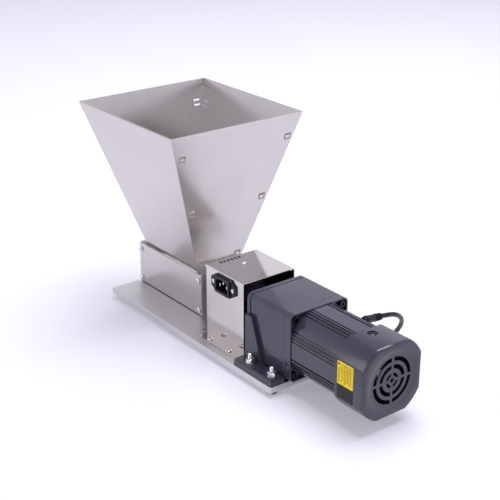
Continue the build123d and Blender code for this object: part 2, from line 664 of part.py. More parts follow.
spider = Circle(9.3)
for step in range(6):
    spider = spider + sector(HUB_R - 0.4, LEG_SPAN, 30 + 60 * step)
spider = along_x(spider, (HUB_SPLIT - JAW_HALF + 0.3, HUB_SPLIT + JAW_HALF - 0.3), MOTOR_Y, SHAFT_Z)
set_screws = [
    bar_z(2.5, -17.0, MOTOR_Y, (SHAFT_Z + DRIVEN_JOURNAL_R, SHAFT_Z + HUB_R - 2)),
    bar_z(2.5, 22.0, MOTOR_Y, (SHAFT_Z + OUTPUT_R, SHAFT_Z + HUB_R - 2)),
]
save("coupling_hub_roller", minus(coupling_hub((HUB_BACK[0], -JAW_HALF), DRIVEN_JOURNAL_R, 0), *set_screws))
save("coupling_spider", spider)
save("coupling_set_screws", *set_screws)

# ---- bracket with its nuts and washers ----
frame_screw_places = [
    (y, MOTOR_Z + side * FRAME_SCREW_OFFSET) for y in motor_sides(FRAME_SCREW_OFFSET) for side in (-1, 1)
]
pocket_floor = MOTOR_FLANGE_X[1] - CORNER_POCKET
frame_screws = []
for y, z in frame_screw_places:
    head = bar_x(FRAME_HEAD_R, (pocket_floor, pocket_floor + FRAME_HEAD_H), y, z)
    socket = extrude(RegularPolygon(2.1, 6), FRAME_HEAD_H)
    socket = aimed(socket, (pocket_floor + FRAME_HEAD_H / 2, y, z), (1, 0, 0))
    shank = bar_x(FRAME_SCREW_R, (BRACKET_X[0] - FRAME_NUT_H - 1.5, pocket_floor + 1), y, z)
    frame_screws.append(head - socket + shank)

face = block((BRACKET_X[0], BRACKET_X[0] + BRACKET_T), motor_sides(FRAME_HALF + 0.5), (DECK, BRACKET_TOP))
face = fillet(face.edges().filter_by(Axis.X).group_by(Axis.Z)[-1], BRACKET_CORNER_R)
shoulder_y, shoulder_z = BRACKET_SHOULDER
bracket = face + block((BRACKET_X[0], BRACKET_X[0] + BRACKET_T), motor_sides(shoulder_y), (DECK, shoulder_z))
for side in (-1, 1):
    span_y = sorted((MOTOR_Y + side * (FRAME_HALF + 0.6), MOTOR_Y + side * BRACKET_HALF_Y))
    rail = block(BRACKET_X, span_y, (DECK, DECK + RAIL_H))
    rail = fillet(rail.faces().sort_by(Axis.Z)[-1].edges(), RAIL_EDGE_R)
    bracket = bracket + rail
    gusset_y = MOTOR_Y + side * (FRAME_HALF + 0.6)
    outline = make_face(
        Polyline((BRACKET_X[0] + 1, DECK + 5), (BRACKET_X[0] + 1, DECK + 65), (GUSSET_X[0], DECK + 65),
                 (GUSSET_X[1], DECK + 7), (GUSSET_X[1] + 2, DECK + 5), close=True)
    )
    gusset_plane = Plane(origin=(0, gusset_y, 0), x_dir=(1, 0, 0), z_dir=(0, -1, 0))
    bracket = bracket + extrude(gusset_plane * outline, -side * GUSSET_T)
bracket = bracket - bar_x(BOSS_R + 0.3, (BRACKET_X[0] - 1, BRACKET_X[0] + 8), MOTOR_Y, SHAFT_Z)
bracket = minus(bracket, *frame_screws)
for x, y in STUD_POINTS:
    bracket = bracket - bar_z(3.4, x, y, (DECK - 1, DECK + RAIL_H + 1))
save("foot_bracket", bracket)
washer = extrude(Circle(WASHER_R) - Circle(STUD_R + 0.1), WASHER_T)
washers = [Pos(x, y, DECK + RAIL_H) * washer for x, y in STUD_POINTS]
stud_nut = hex_nut(STUD_NUT_AF, STUD_NUT_H, STUD_R)
nuts = [Pos(x, y, DECK + RAIL_H + WASHER_T) * stud_nut for x, y in STUD_POINTS]
save("stud_nuts", *nuts, *washers)
frame_nut = hex_nut(FRAME_NUT_AF, FRAME_NUT_H, FRAME_SCREW_R)
frame_nuts = [aimed(frame_nut, (BRACKET_X[0] - FRAME_NUT_H, y, z), (1, 0, 0)) for y, z in frame_screw_places]
save("frame_screws", *frame_screws)
save("frame_nuts", *frame_nuts)


# ---- gears ----
def involute(angle):
    """The involute function."""
    return math.tan(angle) - angle


def gear_outline(module, teeth, phase):
    """A spur gear's outline with involute flanks; one tooth's middle is at phase (radians)."""
    pitch_r = module * teeth / 2
    base_r = pitch_r * math.cos(PRESSURE_ANGLE)
    root_r = pitch_r - 1.2 * module
    tip_r = pitch_r + 0.95 * module
    half = math.pi / (2 * teeth) - TOOTH_PLAY / (2 * pitch_r) + involute(PRESSURE_ANGLE)
    start_r = max(base_r, root_r)
    steps = 4
    flank = [(root_r, half)] if root_r < base_r else []
    for step in range(steps + 1):
        radius = start_r + (tip_r - start_r) * step / steps
        flank.append((radius, half - involute(math.acos(min(1.0, base_r / radius)))))
    points = []
    for tooth in range(teeth):
        middle = phase + 2 * math.pi * tooth / teeth
        points += [(r * math.cos(middle - a), r * math.sin(middle - a)) for r, a in flank]
        points += [(r * math.cos(middle + a), r * math.sin(middle + a)) for r, a in reversed(flank)]
    return make_face(Polyline(*points, close=True))


# The three axes: motor above, output below, and the intermediate shaft beside them.
FIRST_DISTANCE = FIRST_MODULE * sum(FIRST_TEETH) / 2
SECOND_DISTANCE = SECOND_MODULE * sum(SECOND_TEETH) / 2
MID_DZ = (SECOND_DISTANCE**2 - FIRST_DISTANCE**2 - SHAFT_DROP**2) / (2 * SHAFT_DROP)
MID_DY = math.sqrt(FIRST_DISTANCE**2 - MID_DZ**2)
MID_Y = MOTOR_Y + MID_DY
MID_Z = MOTOR_Z + MID_DZ
first_line = math.atan2(MID_DZ, MID_DY)
second_line = math.atan2(SHAFT_Z - MID_Z, MOTOR_Y - MID_Y)
FIRST_GEAR_X = (98.0, 108.0)
SECOND_GEAR_X = (72.0, 86.0)

pinion = along_x(gear_outline(FIRST_MODULE, FIRST_TEETH[0], first_line), (96.5, 110.0))
motor_shaft = pinion + bar_x(4.0, (109.0, 130.0), MOTOR_Y, MOTOR_Z)
for shaft_r, shaft_x in ((6.0, (130.0, 146.0)), (7.0, (146.0, 204.0)), (5.0, (204.0, 243.0))):
    motor_shaft = motor_shaft + bar_x(shaft_r, shaft_x, MOTOR_Y, MOTOR_Z)
save("motor_shaft", motor_shaft)

wheel_phase = first_line + math.pi + math.pi / FIRST_TEETH[1]
mid_shaft = along_x(gear_outline(FIRST_MODULE, FIRST_TEETH[1], wheel_phase), FIRST_GEAR_X, MID_Y, MID_Z)
mid_pinion = gear_outline(SECOND_MODULE, SECOND_TEETH[0], second_line)
mid_shaft = mid_shaft + along_x(mid_pinion, (SECOND_GEAR_X[0] - 2, SECOND_GEAR_X[1] + 2), MID_Y, MID_Z)
mid_shaft = mid_shaft + bar_x(4.0, (63.0, 124.0), MID_Y, MID_Z)
save("intermediate_gear_shaft", mid_shaft)

output_phase = second_line + math.pi + math.pi / SECOND_TEETH[1]
output_profile = gear_outline(SECOND_MODULE, SECOND_TEETH[1], output_phase) - Circle(OUTPUT_R)
save("output_gear", along_x(output_profile, SECOND_GEAR_X, MOTOR_Y, SHAFT_Z))
output_shaft = bar_x(OUTPUT_R, (OUTPUT_TIP, 92.0), MOTOR_Y, SHAFT_Z)
for shaft_r, shaft_x in ((6.0, (92.0, 117.5)), (4.0, (117.5, 125.0))):
    output_shaft = output_shaft + bar_x(shaft_r, shaft_x, MOTOR_Y, SHAFT_Z)
output_key = block((10.0, 32.0), (MOTOR_Y - 2.5, MOTOR_Y + 2.5), (SHAFT_Z - 10.0, SHAFT_Z - 4.5))
save("output_shaft", output_shaft - output_key)
save("output_key", output_key & bar_x(HUB_R, (0, 60), MOTOR_Y, SHAFT_Z))
hub_motor = minus(coupling_hub((JAW_HALF, HUB_BACK[1]), OUTPUT_R, 60), *set_screws, output_key)
save("coupling_hub_motor", hub_motor)

# ---- gearhead case ----
case = along_x(RectangleRounded(2 * FRAME_HALF, 2 * FRAME_HALF, FRAME_CORNER_R), GEARHEAD_X)
case = chamfer(case.faces().sort_by(Axis.X)[0].edges(), GEAR_FRONT_CHAMFER)
case = chamfer(case.faces().sort_by(Axis.X)[-1].edges(), SEAM_CHAMFER)
inner_half = FRAME_HALF - GEAR_WALL
inside_x = (GEARHEAD_X[0] + GEAR_FRONT_WALL, GEARHEAD_X[1])
corner_post = 12.0
post_half = inner_half - corner_post
cavity = Rectangle(2 * inner_half, 2 * post_half) + Rectangle(2 * post_half, 2 * inner_half)
cavity = cavity + Circle(inner_half)
case = case - along_x(cavity, (inside_x[0], inside_x[1] + 1))
case = case + bar_x(BOSS_R, (BRACKET_X[0] - 1.2, GEARHEAD_X[0] + 1), MOTOR_Y, SHAFT_Z)
case = case - bar_x(OUTPUT_R + 0.5, (BRACKET_X[0] - 3, GEARHEAD_X[0] + 9), MOTOR_Y, SHAFT_Z)
case = case - bar_x(14.0, (inside_x[0] - 7.0, inside_x[0] + 1), MOTOR_Y, SHAFT_Z)
case = case - bar_x(4.0 + RUN_FIT, (inside_x[0] - 5.7, inside_x[0] + 1), MID_Y, MID_Z)
save("gearhead_case", minus(case, *frame_screws))

REAR_PLATE_X = (GEARHEAD_X[1] - 8.0, GEARHEAD_X[1])
rear_plate = along_x(cavity, REAR_PLATE_X)
for hole_r, hole_y, hole_z in ((6.0, MOTOR_Y, MOTOR_Z), (11.0, MOTOR_Y, SHAFT_Z), (7.0, MID_Y, MID_Z)):
    rear_plate = rear_plate - bar_x(hole_r, (100, 130), hole_y, hole_z)
save("gearhead_rear_plate", rear_plate)
gear_bearings = [
    ring_x(14.0, OUTPUT_R + RUN_FIT, (inside_x[0] - 7.0, inside_x[0]), MOTOR_Y, SHAFT_Z),
    ring_x(11.0, 4.0 + RUN_FIT, REAR_PLATE_X, MOTOR_Y, SHAFT_Z),
    ring_x(7.0, 4.0 + RUN_FIT, REAR_PLATE_X, MID_Y, MID_Z),
]
save("gearhead_bearings", *gear_bearings)

# ---- motor ----
FRONT_BEARING_X = (MOTOR_FLANGE_X[1] - 5.3, MOTOR_FLANGE_X[1] + SPIGOT)
REAR_BEARING_X = (208.0, 217.0)
motor_flange = along_x(RectangleRounded(2 * FRAME_HALF, 2 * FRAME_HALF, FRAME_CORNER_R), MOTOR_FLANGE_X)
motor_flange = chamfer(motor_flange.faces().sort_by(Axis.X)[0].edges(), SEAM_CHAMFER)
pocket_half = FRAME_HALF - FRAME_WALL
pockets = RectangleRounded(2 * pocket_half, 2 * pocket_half, FRAME_CORNER_R - FRAME_WALL)
pockets = pockets - Circle(HOUSING_ROUND_R)
motor_flange = motor_flange - along_x(pockets, (pocket_floor, MOTOR_FLANGE_X[1] + 1))
spigot = bar_x(HOUSING_BORE, (MOTOR_FLANGE_X[1] - 1, FRONT_BEARING_X[1]), MOTOR_Y, MOTOR_Z)
motor_flange = motor_flange + spigot
motor_flange = motor_flange - bar_x(7.0, (MOTOR_FLANGE_X[0] - 1, 140), MOTOR_Y, MOTOR_Z)
motor_flange = motor_flange - bar_x(16.0, (FRONT_BEARING_X[0], 150), MOTOR_Y, MOTOR_Z)
save("motor_flange", minus(motor_flange, *frame_screws))

housing = along_x(flatted_round(HOUSING_ROUND_R, HOUSING_HALF), HOUSING_X)
housing = housing - bar_x(HOUSING_BORE, (HOUSING_X[0] - 1, HOUSING_X[1] + 1), MOTOR_Y, MOTOR_Z)
groove_profile = Circle(0.1)
for quarter in range(4):
    for side in (-1, 1):
        for offset in GROOVE_ANGLES:
            angle = math.radians(90 * quarter + side * offset)
            reach = min(HOUSING_ROUND_R, HOUSING_HALF / math.cos(math.radians(offset)))
            place = Pos(reach * math.cos(angle), reach * math.sin(angle))
            groove = Rectangle(2 * GROOVE_DEPTH, GROOVE_WIDTH)
            groove_profile = groove_profile + place * Rot(0, 0, math.degrees(angle)) * groove
housing = housing - along_x(groove_profile, (HOUSING_X[0] - 1, HOUSING_X[1] + 1))
relief_aim = (CORD_POINTS[0], Vector(*CORD_POINTS[0]) - Vector(*CORD_POINTS[1]))
gland_hole = Pos(0, 0, RELIEF_LENGTH) * Cylinder(RELIEF_SHANK_R + 0.1, RELIEF_LENGTH)
gland_hole = aimed(gland_hole, *relief_aim)
save("motor_housing", housing - gland_hole)

bell_fit = FAN_COVER_WALL + 0.3
bell_profile = flatted_round(FAN_COVER_ROUND_R - bell_fit, FAN_COVER_HALF - bell_fit)
rear_bell = along_x(bell_profile, (FAN_COVER_X[0], FAN_COVER_X[0] + 5.0))
rear_bell = rear_bell + bar_x(HOUSING_BORE, (210.0, 217.0), MOTOR_Y, MOTOR_Z)
for side in (-1, 1):
    lug_z = sorted((MOTOR_Z + side * 36.5, MOTOR_Z + side * (FAN_COVER_HALF - bell_fit)))
    rear_bell = rear_bell + block((FAN_COVER_X[0], 234.5), (MOTOR_Y - 7, MOTOR_Y + 7), lug_z)
rear_bell = rear_bell - bar_x(15.0, (200.0, REAR_BEARING_X[1]), MOTOR_Y, MOTOR_Z)
rear_bell = rear_bell - bar_x(6.0, (200.0, 230.0), MOTOR_Y, MOTOR_Z)
fan_screw_z = FAN_COVER_HALF - 2.0
fan_cover_screws = [
    aimed(pan_screw(*FAN_COVER_SCREW), (FAN_SCREW_X, MOTOR_Y, MOTOR_Z + side * fan_screw_z), (0, 0, side))
    for side in (-1, 1)
]
save("rear_end_bell", minus(rear_bell, *fan_cover_screws))
motor_bearings = [
    ring_x(16.0, 6.0 + RUN_FIT, FRONT_BEARING_X, MOTOR_Y, MOTOR_Z),
    ring_x(15.0, 5.0 + RUN_FIT, REAR_BEARING_X, MOTOR_Y, MOTOR_Z),
]
save("motor_bearings", *motor_bearings)

stator = ring_x(HOUSING_BORE - 0.1, 24.0, STACK_X, MOTOR_Y, MOTOR_Z)
lead_angle = math.atan2(MOTOR_GLAND_Z - MOTOR_Z, 24.0)
lead_groove = bar_x(
    4.5, (STACK_X[0] - 1, STACK_X[1] + 1),
    MOTOR_Y + HOUSING_BORE * math.cos(lead_angle), MOTOR_Z + HOUSING_BORE * math.sin(lead_angle),
)
save("stator_core", stator - lead_groove)
windings = [
    ring_x(36.0, 25.5, (143.0, STACK_X[0]), MOTOR_Y, MOTOR_Z),
    ring_x(36.0, 25.5, (STACK_X[1], 207.0), MOTOR_Y, MOTOR_Z),
]
save("stator_windings", *[fillet(coil.edges().filter_by(GeomType.CIRCLE), 2.5) for coil in windings])
save("rotor_core", ring_x(23.6, 7.0, STACK_X, MOTOR_Y, MOTOR_Z))

fan = bar_x(9.0, FAN_X, MOTOR_Y, MOTOR_Z) + bar_x(FAN_R, (FAN_X[0], FAN_X[0] + 2), MOTOR_Y, MOTOR_Z)
for step in range(9):
    blade = Pos(20.5, 0) * Rectangle(25.0, 1.8)
    fan = fan + along_x(Rot(0, 0, 40 * step) * blade, (FAN_X[0] + 1, FAN_X[1]))
save("cooling_fan", fan - bar_x(5.0, (220, 243), MOTOR_Y, MOTOR_Z))

# ---- fan cover ----
fan_cover = along_x(flatted_round(FAN_COVER_ROUND_R, FAN_COVER_HALF), FAN_COVER_X)
fan_cover = fillet(fan_cover.faces().sort_by(Axis.X)[-1].edges(), FAN_EDGE_R)
cover_inside = flatted_round(FAN_COVER_ROUND_R - FAN_COVER_WALL, FAN_COVER_HALF - FAN_COVER_WALL)
fan_cover = fan_cover - along_x(cover_inside, (FAN_COVER_X[0] - 1, FAN_COVER_X[1] - FAN_FACE_T))
dish = Cone(DISH_R[0], DISH_R[1], DISH_DEPTH, align=(Align.CENTER, Align.CENTER, Align.MIN))
fan_cover = fan_cover - aimed(dish, (FAN_COVER_X[1] - DISH_DEPTH, MOTOR_Y, MOTOR_Z), (1, 0, 0))
slots = Circle(GRILLE_HUB_R)
for inner, outer in GRILLE_RINGS:
    slots = slots + (Circle(outer) - Circle(inner) - Rectangle(80, SPOKE) - Rectangle(SPOKE, 80))
fan_cover = fan_cover - along_x(slots, (FAN_COVER_X[1] - 5, FAN_COVER_X[1] + 1))
for side in (-1, 1):
    recess_z = sorted((MOTOR_Z + side * fan_screw_z, MOTOR_Z + side * (FAN_COVER_HALF + 1)))
    fan_cover = fan_cover - bar_z(6.2, FAN_SCREW_X, MOTOR_Y, recess_z)
save("fan_cover", minus(fan_cover, *fan_cover_screws))
save("fan_cover_screws", *fan_cover_screws)
label_y = (MOTOR_Y - FAN_COVER_HALF - 0.3, MOTOR_Y - FAN_COVER_HALF)
save("label_plate", block(LABEL_X, label_y, LABEL_Z))

# ---- cord with its two strain reliefs ----
upright = (Align.CENTER, Align.CENTER, Align.MIN)
relief_sleeve = aimed(Cone(RELIEF_TIP_R, RELIEF_ROOT_R, RELIEF_LENGTH, align=upright), *relief_aim)
relief_sleeve = relief_sleeve - along_x(flatted_round(HOUSING_ROUND_R, HOUSING_HALF), HOUSING_X)
relief_shank = aimed(Pos(0, 0, 14.0) * Cylinder(RELIEF_SHANK_R, 16.0, align=upright), *relief_aim)
save("motor_strain_relief", relief_sleeve + relief_shank)

gland = bar_y(5.9, COVER_GLAND_X, (SWITCH_FACE_Y - COVER_T, SWITCH_FACE_Y), COVER_GLAND_Z)
for face_y, outward in ((SWITCH_FACE_Y, 1), (SWITCH_FACE_Y - COVER_T, -1)):
    gland_nut = extrude(RegularPolygon(8.0, 6), 4.0)
    gland = gland + aimed(gland_nut, (COVER_GLAND_X, face_y, COVER_GLAND_Z), (0, outward, 0))
gland_aim = (CORD_POINTS[-1], Vector(*CORD_POINTS[-1]) - Vector(*CORD_POINTS[-2]))
gland_sleeve = aimed(Cone(RELIEF_TIP_R, 5.8, 11.0, align=upright), *gland_aim)
save("cover_cable_gland", gland + gland_sleeve)


def cord_radii(points):
    """The largest tangent arc at each corner of the cord's route."""
    radii = []
    for before, here, after in zip(points, points[1:], points[2:]):
        first = Vector(*here) - Vector(*before)
        second = Vector(*after) - Vector(*here)
        turn = math.radians(first.get_angle(second))
        radii.append(0.45 * min(first.length, second.length) / math.tan(turn / 2))
    return radii


radii = cord_radii(CORD_POINTS)
print("cord arc radii:", [round(radius, 1) for radius in radii])
path = FilletPolyline(*CORD_POINTS, radius=radii)
start = Plane(origin=path @ 0, z_dir=path % 0)
cord = sweep(start * Circle(CORD_R), path=path)
solid_share = cord.volume / (math.pi * CORD_R**2 * path.length)
print("cord length:", round(path.length, 1), "volume ratio:", round(solid_share, 4))
save("motor_cord", cord)
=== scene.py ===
import json
import math
import random

import bmesh
import bpy
from mathutils import Matrix, Vector

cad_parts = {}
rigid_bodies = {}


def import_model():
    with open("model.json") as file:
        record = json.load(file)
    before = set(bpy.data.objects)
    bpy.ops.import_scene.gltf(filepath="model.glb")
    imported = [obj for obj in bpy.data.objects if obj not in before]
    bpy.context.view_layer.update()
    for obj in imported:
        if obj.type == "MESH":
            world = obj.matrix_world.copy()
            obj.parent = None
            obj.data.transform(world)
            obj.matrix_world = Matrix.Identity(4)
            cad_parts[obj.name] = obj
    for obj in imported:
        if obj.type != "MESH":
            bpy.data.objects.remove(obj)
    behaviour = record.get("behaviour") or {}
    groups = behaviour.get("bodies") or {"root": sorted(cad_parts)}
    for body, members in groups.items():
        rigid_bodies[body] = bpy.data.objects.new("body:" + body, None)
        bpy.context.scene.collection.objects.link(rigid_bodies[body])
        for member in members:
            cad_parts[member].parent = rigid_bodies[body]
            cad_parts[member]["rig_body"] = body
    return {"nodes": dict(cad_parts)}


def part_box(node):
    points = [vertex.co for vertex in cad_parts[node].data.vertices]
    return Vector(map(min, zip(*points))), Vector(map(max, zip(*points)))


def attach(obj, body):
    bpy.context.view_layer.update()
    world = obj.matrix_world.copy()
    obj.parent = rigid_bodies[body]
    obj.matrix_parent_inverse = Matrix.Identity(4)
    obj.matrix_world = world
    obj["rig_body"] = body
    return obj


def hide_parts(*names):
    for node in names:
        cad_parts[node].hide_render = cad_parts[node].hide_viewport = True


# Looks of the grain mill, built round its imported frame.  Metres, +Z up, standing on Z = 0.

for leftover in list(bpy.data.objects):
    bpy.data.objects.remove(leftover)
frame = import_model()
bpy.context.view_layer.update()
NODES = frame["nodes"]

# ---- places read from the frame ----


def middle(node):
    """The middle of a node's box."""
    low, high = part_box(node)
    return (low + high) / 2


DRIVE_Y = middle("driven_roller").y
SHAFT_Z = middle("driven_roller").z
MOTOR_Z = middle("rotor_core").z

# ---- sizes of the detailed pieces, in metres ----
ROLLER_R = 0.0168
DRIVEN_JOURNAL_R = 0.006
IDLER_JOURNAL_R = 0.005
ROLLER_END_GAP = 0.0006
ROLLER_CHAMFER = 0.001
JOURNAL_CHAMFER = 0.0005
KNURL_TEETH = 44
KNURL_DEPTH = 0.0005
STUD_R = 0.003
STUD_HEAD_R = 0.005
STUD_CHAMFER = 0.0006
THREAD_PITCH = 0.001
THREAD_DEPTH = 0.00045
THREAD_END = -0.022
STUD_NUT_FLATS = 0.010
STUD_NUT_BORE = 0.00305
FRAME_NUT_FLATS = 0.008
FRAME_NUT_BORE = 0.00255
FRAME_SCREW_R = 0.0025
FRAME_HEAD_H = 0.005
SOCKET_R = 0.0021
SOCKET_DEPTH = 0.0026
RELIEF_TIP_R = 0.0038
RELIEF_TIP_GROWTH = 0.0014
RELIEF_LENGTH = 0.026
COVER_SHEET = 0.0012
INK = 0.00005
FLOOR_HALF = 9.0

# ---- camera, at the photograph's angle and framing ----
CAMERA_TARGET = Vector((-0.0511, 0.0231, 0.1048))
CAMERA_AZIMUTH = math.radians(52.3)
CAMERA_ELEVATION = math.radians(22.956)
CAMERA_DISTANCE = 1.5035
CAMERA_ANGLE = math.radians(24.97)


def make_camera():
    """The camera, aimed at its target from its azimuth, elevation and distance."""
    data = bpy.data.cameras.new("view_camera")
    data.sensor_width = 36.0
    data.angle = CAMERA_ANGLE
    data.clip_end = 100.0
    camera = bpy.data.objects.new("view_camera", data)
    back = Vector((
        math.sin(CAMERA_AZIMUTH) * math.cos(CAMERA_ELEVATION),
        -math.cos(CAMERA_AZIMUTH) * math.cos(CAMERA_ELEVATION),
        math.sin(CAMERA_ELEVATION),
    ))
    camera.location = CAMERA_TARGET + back * CAMERA_DISTANCE
    camera.rotation_mode = "QUATERNION"
    camera.rotation_quaternion = (-back).to_track_quat("-Z", "Y")
    bpy.context.scene.collection.objects.link(camera)
    bpy.context.scene.camera = camera


# ---- material building ----


class Surface:
    """A principled material whose colour, roughness and bump are built up layer by layer."""

    def __init__(self, name, colour, roughness, metallic=0.0, specular=0.5):
        self.material = bpy.data.materials.new(name)
        self.material.use_nodes = True
        self.nodes = self.material.node_tree.nodes
        self.links = self.material.node_tree.links
        self.shader = self.nodes["Principled BSDF"]
        self.colour = tuple(colour) + (1.0,)
        self.roughness = roughness
        self.shader.inputs["Base Color"].default_value = self.colour
        self.shader.inputs["Roughness"].default_value = roughness
        self.shader.inputs["Metallic"].default_value = metallic
        self.shader.inputs["Specular IOR Level"].default_value = specular
        self.coordinates = self.nodes.new("ShaderNodeTexCoord")
        self.bump = None

    def noise(self, scale, stretch=(1, 1, 1), detail=3.0, distortion=0.0):
        """A noise value over the surface; stretch scales it along each axis."""
        mapping = self.nodes.new("ShaderNodeMapping")
        mapping.inputs["Scale"].default_value = stretch
        self.links.new(self.coordinates.outputs["Object"], mapping.inputs["Vector"])
        texture = self.nodes.new("ShaderNodeTexNoise")
        texture.inputs["Scale"].default_value = scale
        texture.inputs["Detail"].default_value = detail
        texture.inputs["Distortion"].default_value = distortion
        self.links.new(mapping.outputs["Vector"], texture.inputs["Vector"])
        return texture.outputs["Fac"]

    def cells(self, scale):
        """A fine cellular value, for moulded grain."""
        texture = self.nodes.new("ShaderNodeTexVoronoi")
        texture.inputs["Scale"].default_value = scale
        self.links.new(self.coordinates.outputs["Object"], texture.inputs["Vector"])
        return texture.outputs["Distance"]

    def spread(self, value, low, high):
        """Remap a 0.3 to 0.7 noise value to low..high."""
        remap = self.nodes.new("ShaderNodeMapRange")
        remap.inputs["From Min"].default_value = 0.3
        remap.inputs["From Max"].default_value = 0.7
        remap.inputs["To Min"].default_value = low
        remap.inputs["To Max"].default_value = high
        self.links.new(value, remap.inputs["Value"])
        return remap.outputs["Result"]

    def blend_colour(self, share, other):
        """Blend what the base colour is so far towards another by a share socket."""
        mix = self.nodes.new("ShaderNodeMix")
        mix.data_type = "RGBA"
        socket = self.shader.inputs["Base Color"]
        if socket.is_linked:
            self.links.new(socket.links[0].from_socket, mix.inputs[6])
        else:
            mix.inputs[6].default_value = self.colour
        mix.inputs[7].default_value = tuple(other) + (1.0,)
        self.links.new(share, mix.inputs[0])
        self.links.new(mix.outputs[2], socket)
        return self

    def vary_colour(self, value, other):
        """Blend the base colour towards another by a noise value."""
        return self.blend_colour(self.spread(value, 0.0, 1.0), other)

    def vary_roughness(self, value, amount):
        """Let the roughness wander by an amount either side of its own value."""
        spread = self.spread(value, self.roughness - amount, self.roughness + amount)
        self.links.new(spread, self.shader.inputs["Roughness"])
        return self

    def raise_by(self, value, depth):
        """Add a bump layer of a real depth in metres."""
        bump = self.nodes.new("ShaderNodeBump")
        bump.inputs["Distance"].default_value = depth
        self.links.new(value, bump.inputs["Height"])
        if self.bump:
            self.links.new(self.bump.outputs["Normal"], bump.inputs["Normal"])
        self.links.new(bump.outputs["Normal"], self.shader.inputs["Normal"])
        self.bump = bump
        return self

    def painted_edge_highlight(self, colour, radius, share):
        """Paint a brighter colour along the edges: a painted edge highlight."""
        bevel = self.nodes.new("ShaderNodeBevel")
        bevel.inputs["Radius"].default_value = radius
        bevel.samples = 4
        geometry = self.nodes.new("ShaderNodeNewGeometry")
        product = self.nodes.new("ShaderNodeVectorMath")
        product.operation = "DOT_PRODUCT"
        self.links.new(bevel.outputs["Normal"], product.inputs[0])
        self.links.new(geometry.outputs["Normal"], product.inputs[1])
        remap = self.nodes.new("ShaderNodeMapRange")
        remap.inputs["From Min"].default_value = 0.97
        remap.inputs["From Max"].default_value = 0.80
        remap.inputs["To Min"].default_value = 0.0
        remap.inputs["To Max"].default_value = share
        self.links.new(product.outputs["Value"], remap.inputs["Value"])
        return self.blend_colour(remap.outputs["Result"], colour)


ALONG_X = (0.02, 1.0, 1.0)
ALONG_Y = (1.0, 0.02, 1.0)
ALONG_Z = (1.0, 1.0, 0.02)
ACROSS_STACK = (60.0, 1.0, 1.0)
ROUND_COIL = (1.0, 0.15, 0.15)


def metal(name, colour, roughness, grain, grain_scale, depth):
    """Metal with a directional grain, soft smears in its gloss and a slight change of tone."""
    surface = Surface(name, colour, roughness, metallic=1.0)
    line = surface.noise(grain_scale, grain, detail=2.0)
    cloud = surface.noise(22.0, detail=4.0, distortion=0.4)
    surface.vary_colour(cloud, [c * 0.96 for c in colour])
    surface.vary_roughness(cloud, roughness * 0.07)
    return surface.raise_by(line, depth)


def paint(name, colour, roughness):
    """Satin enamel over a casting: fine orange peel, faint mottling and painted edge highlights."""
    surface = Surface(name, colour, roughness, specular=0.62)
    peel = surface.noise(900.0, detail=2.0)
    cloud = surface.noise(18.0, detail=4.0)
    surface.vary_colour(cloud, [c * 0.86 for c in colour])
    surface.vary_roughness(surface.noise(60.0, detail=4.0), 0.05)
    # painted highlight: the colour is brightened along the edges to stand in for edge highlights
    surface.painted_edge_highlight([min(1.0, c * 2.1 + 0.03) for c in colour], 0.0008, 0.45)
    return surface.raise_by(peel, 3e-6)


def plastic(name, colour, roughness, grain_scale):
    """Moulded plastic or rubber with a fine spark-eroded grain."""
    surface = Surface(name, colour, roughness, specular=0.3)
    cloud = surface.noise(70.0, detail=3.0)
    surface.vary_colour(cloud, [c * 0.75 for c in colour])
    surface.vary_roughness(cloud, 0.06)
    return surface.raise_by(surface.cells(grain_scale), 6e-6)


# Metals: slot, colour, roughness, direction of the grain, its scale and its depth.
METALS = (
    ("brushed_aluminium", (0.68, 0.665, 0.68), 0.38, ALONG_X, 1300.0, 1.5e-6),
    ("mill_steel", (0.42, 0.41, 0.42), 0.34, ALONG_Y, 1800.0, 6e-6),
    ("hopper_steel", (0.595, 0.568, 0.561), 0.22, ALONG_Z, 1100.0, 1.5e-7),
    ("cover_steel", (0.70, 0.66, 0.645), 0.10, ALONG_X, 1100.0, 2e-7),
    ("roller_steel", (0.40, 0.39, 0.40), 0.36, ALONG_X, 900.0, 6e-6),
    ("bright_zinc", (0.76, 0.76, 0.78), 0.18, ALONG_Z, 900.0, 5e-7),
    ("black_oxide", (0.045, 0.045, 0.05), 0.30, ALONG_Z, 900.0, 3e-6),
    ("bronze", (0.58, 0.38, 0.16), 0.38, ALONG_X, 900.0, 6e-6),
    ("gear_steel", (0.46, 0.45, 0.45), 0.30, ALONG_X, 1400.0, 5e-6),
    ("bearing_steel", (0.62, 0.62, 0.64), 0.16, ALONG_X, 900.0, 2e-6),
    ("lamination_steel", (0.26, 0.25, 0.24), 0.50, ACROSS_STACK, 40.0, 6e-5),
    ("copper_winding", (0.62, 0.26, 0.09), 0.30, ROUND_COIL, 2200.0, 8e-5),
)

# Plastics and rubbers: slot, colour, roughness and the scale of the moulded grain.
PLASTICS = (
    ("black_plastic", (0.012, 0.012, 0.014), 0.34, 2400.0),
    ("switch_red", (0.42, 0.02, 0.02), 0.22, 1600.0),
    ("capacitor_plastic", (0.05, 0.055, 0.075), 0.40, 2400.0),
    ("fan_plastic", (0.020, 0.020, 0.022), 0.40, 2400.0),
    ("spider_rubber", (0.50, 0.05, 0.025), 0.50, 2400.0),
    ("foot_rubber", (0.015, 0.015, 0.016), 0.60, 1500.0),
    ("cord_pvc", (0.008, 0.008, 0.012), 0.26, 1800.0),
    ("label_yellow", (0.97, 0.70, 0.008), 0.45, 900.0),
)


def make_materials():
    """Every material slot of the record, by name."""
    surfaces = {row[0]: metal(*row) for row in METALS}
    surfaces["motor_paint"] = paint("motor_paint", (0.036, 0.037, 0.060), 0.15)
    surfaces.update({row[0]: plastic(*row) for row in PLASTICS})
    return {slot: surface.material for slot, surface in surfaces.items()}


MATERIALS = make_materials()

# ---- mesh building ----


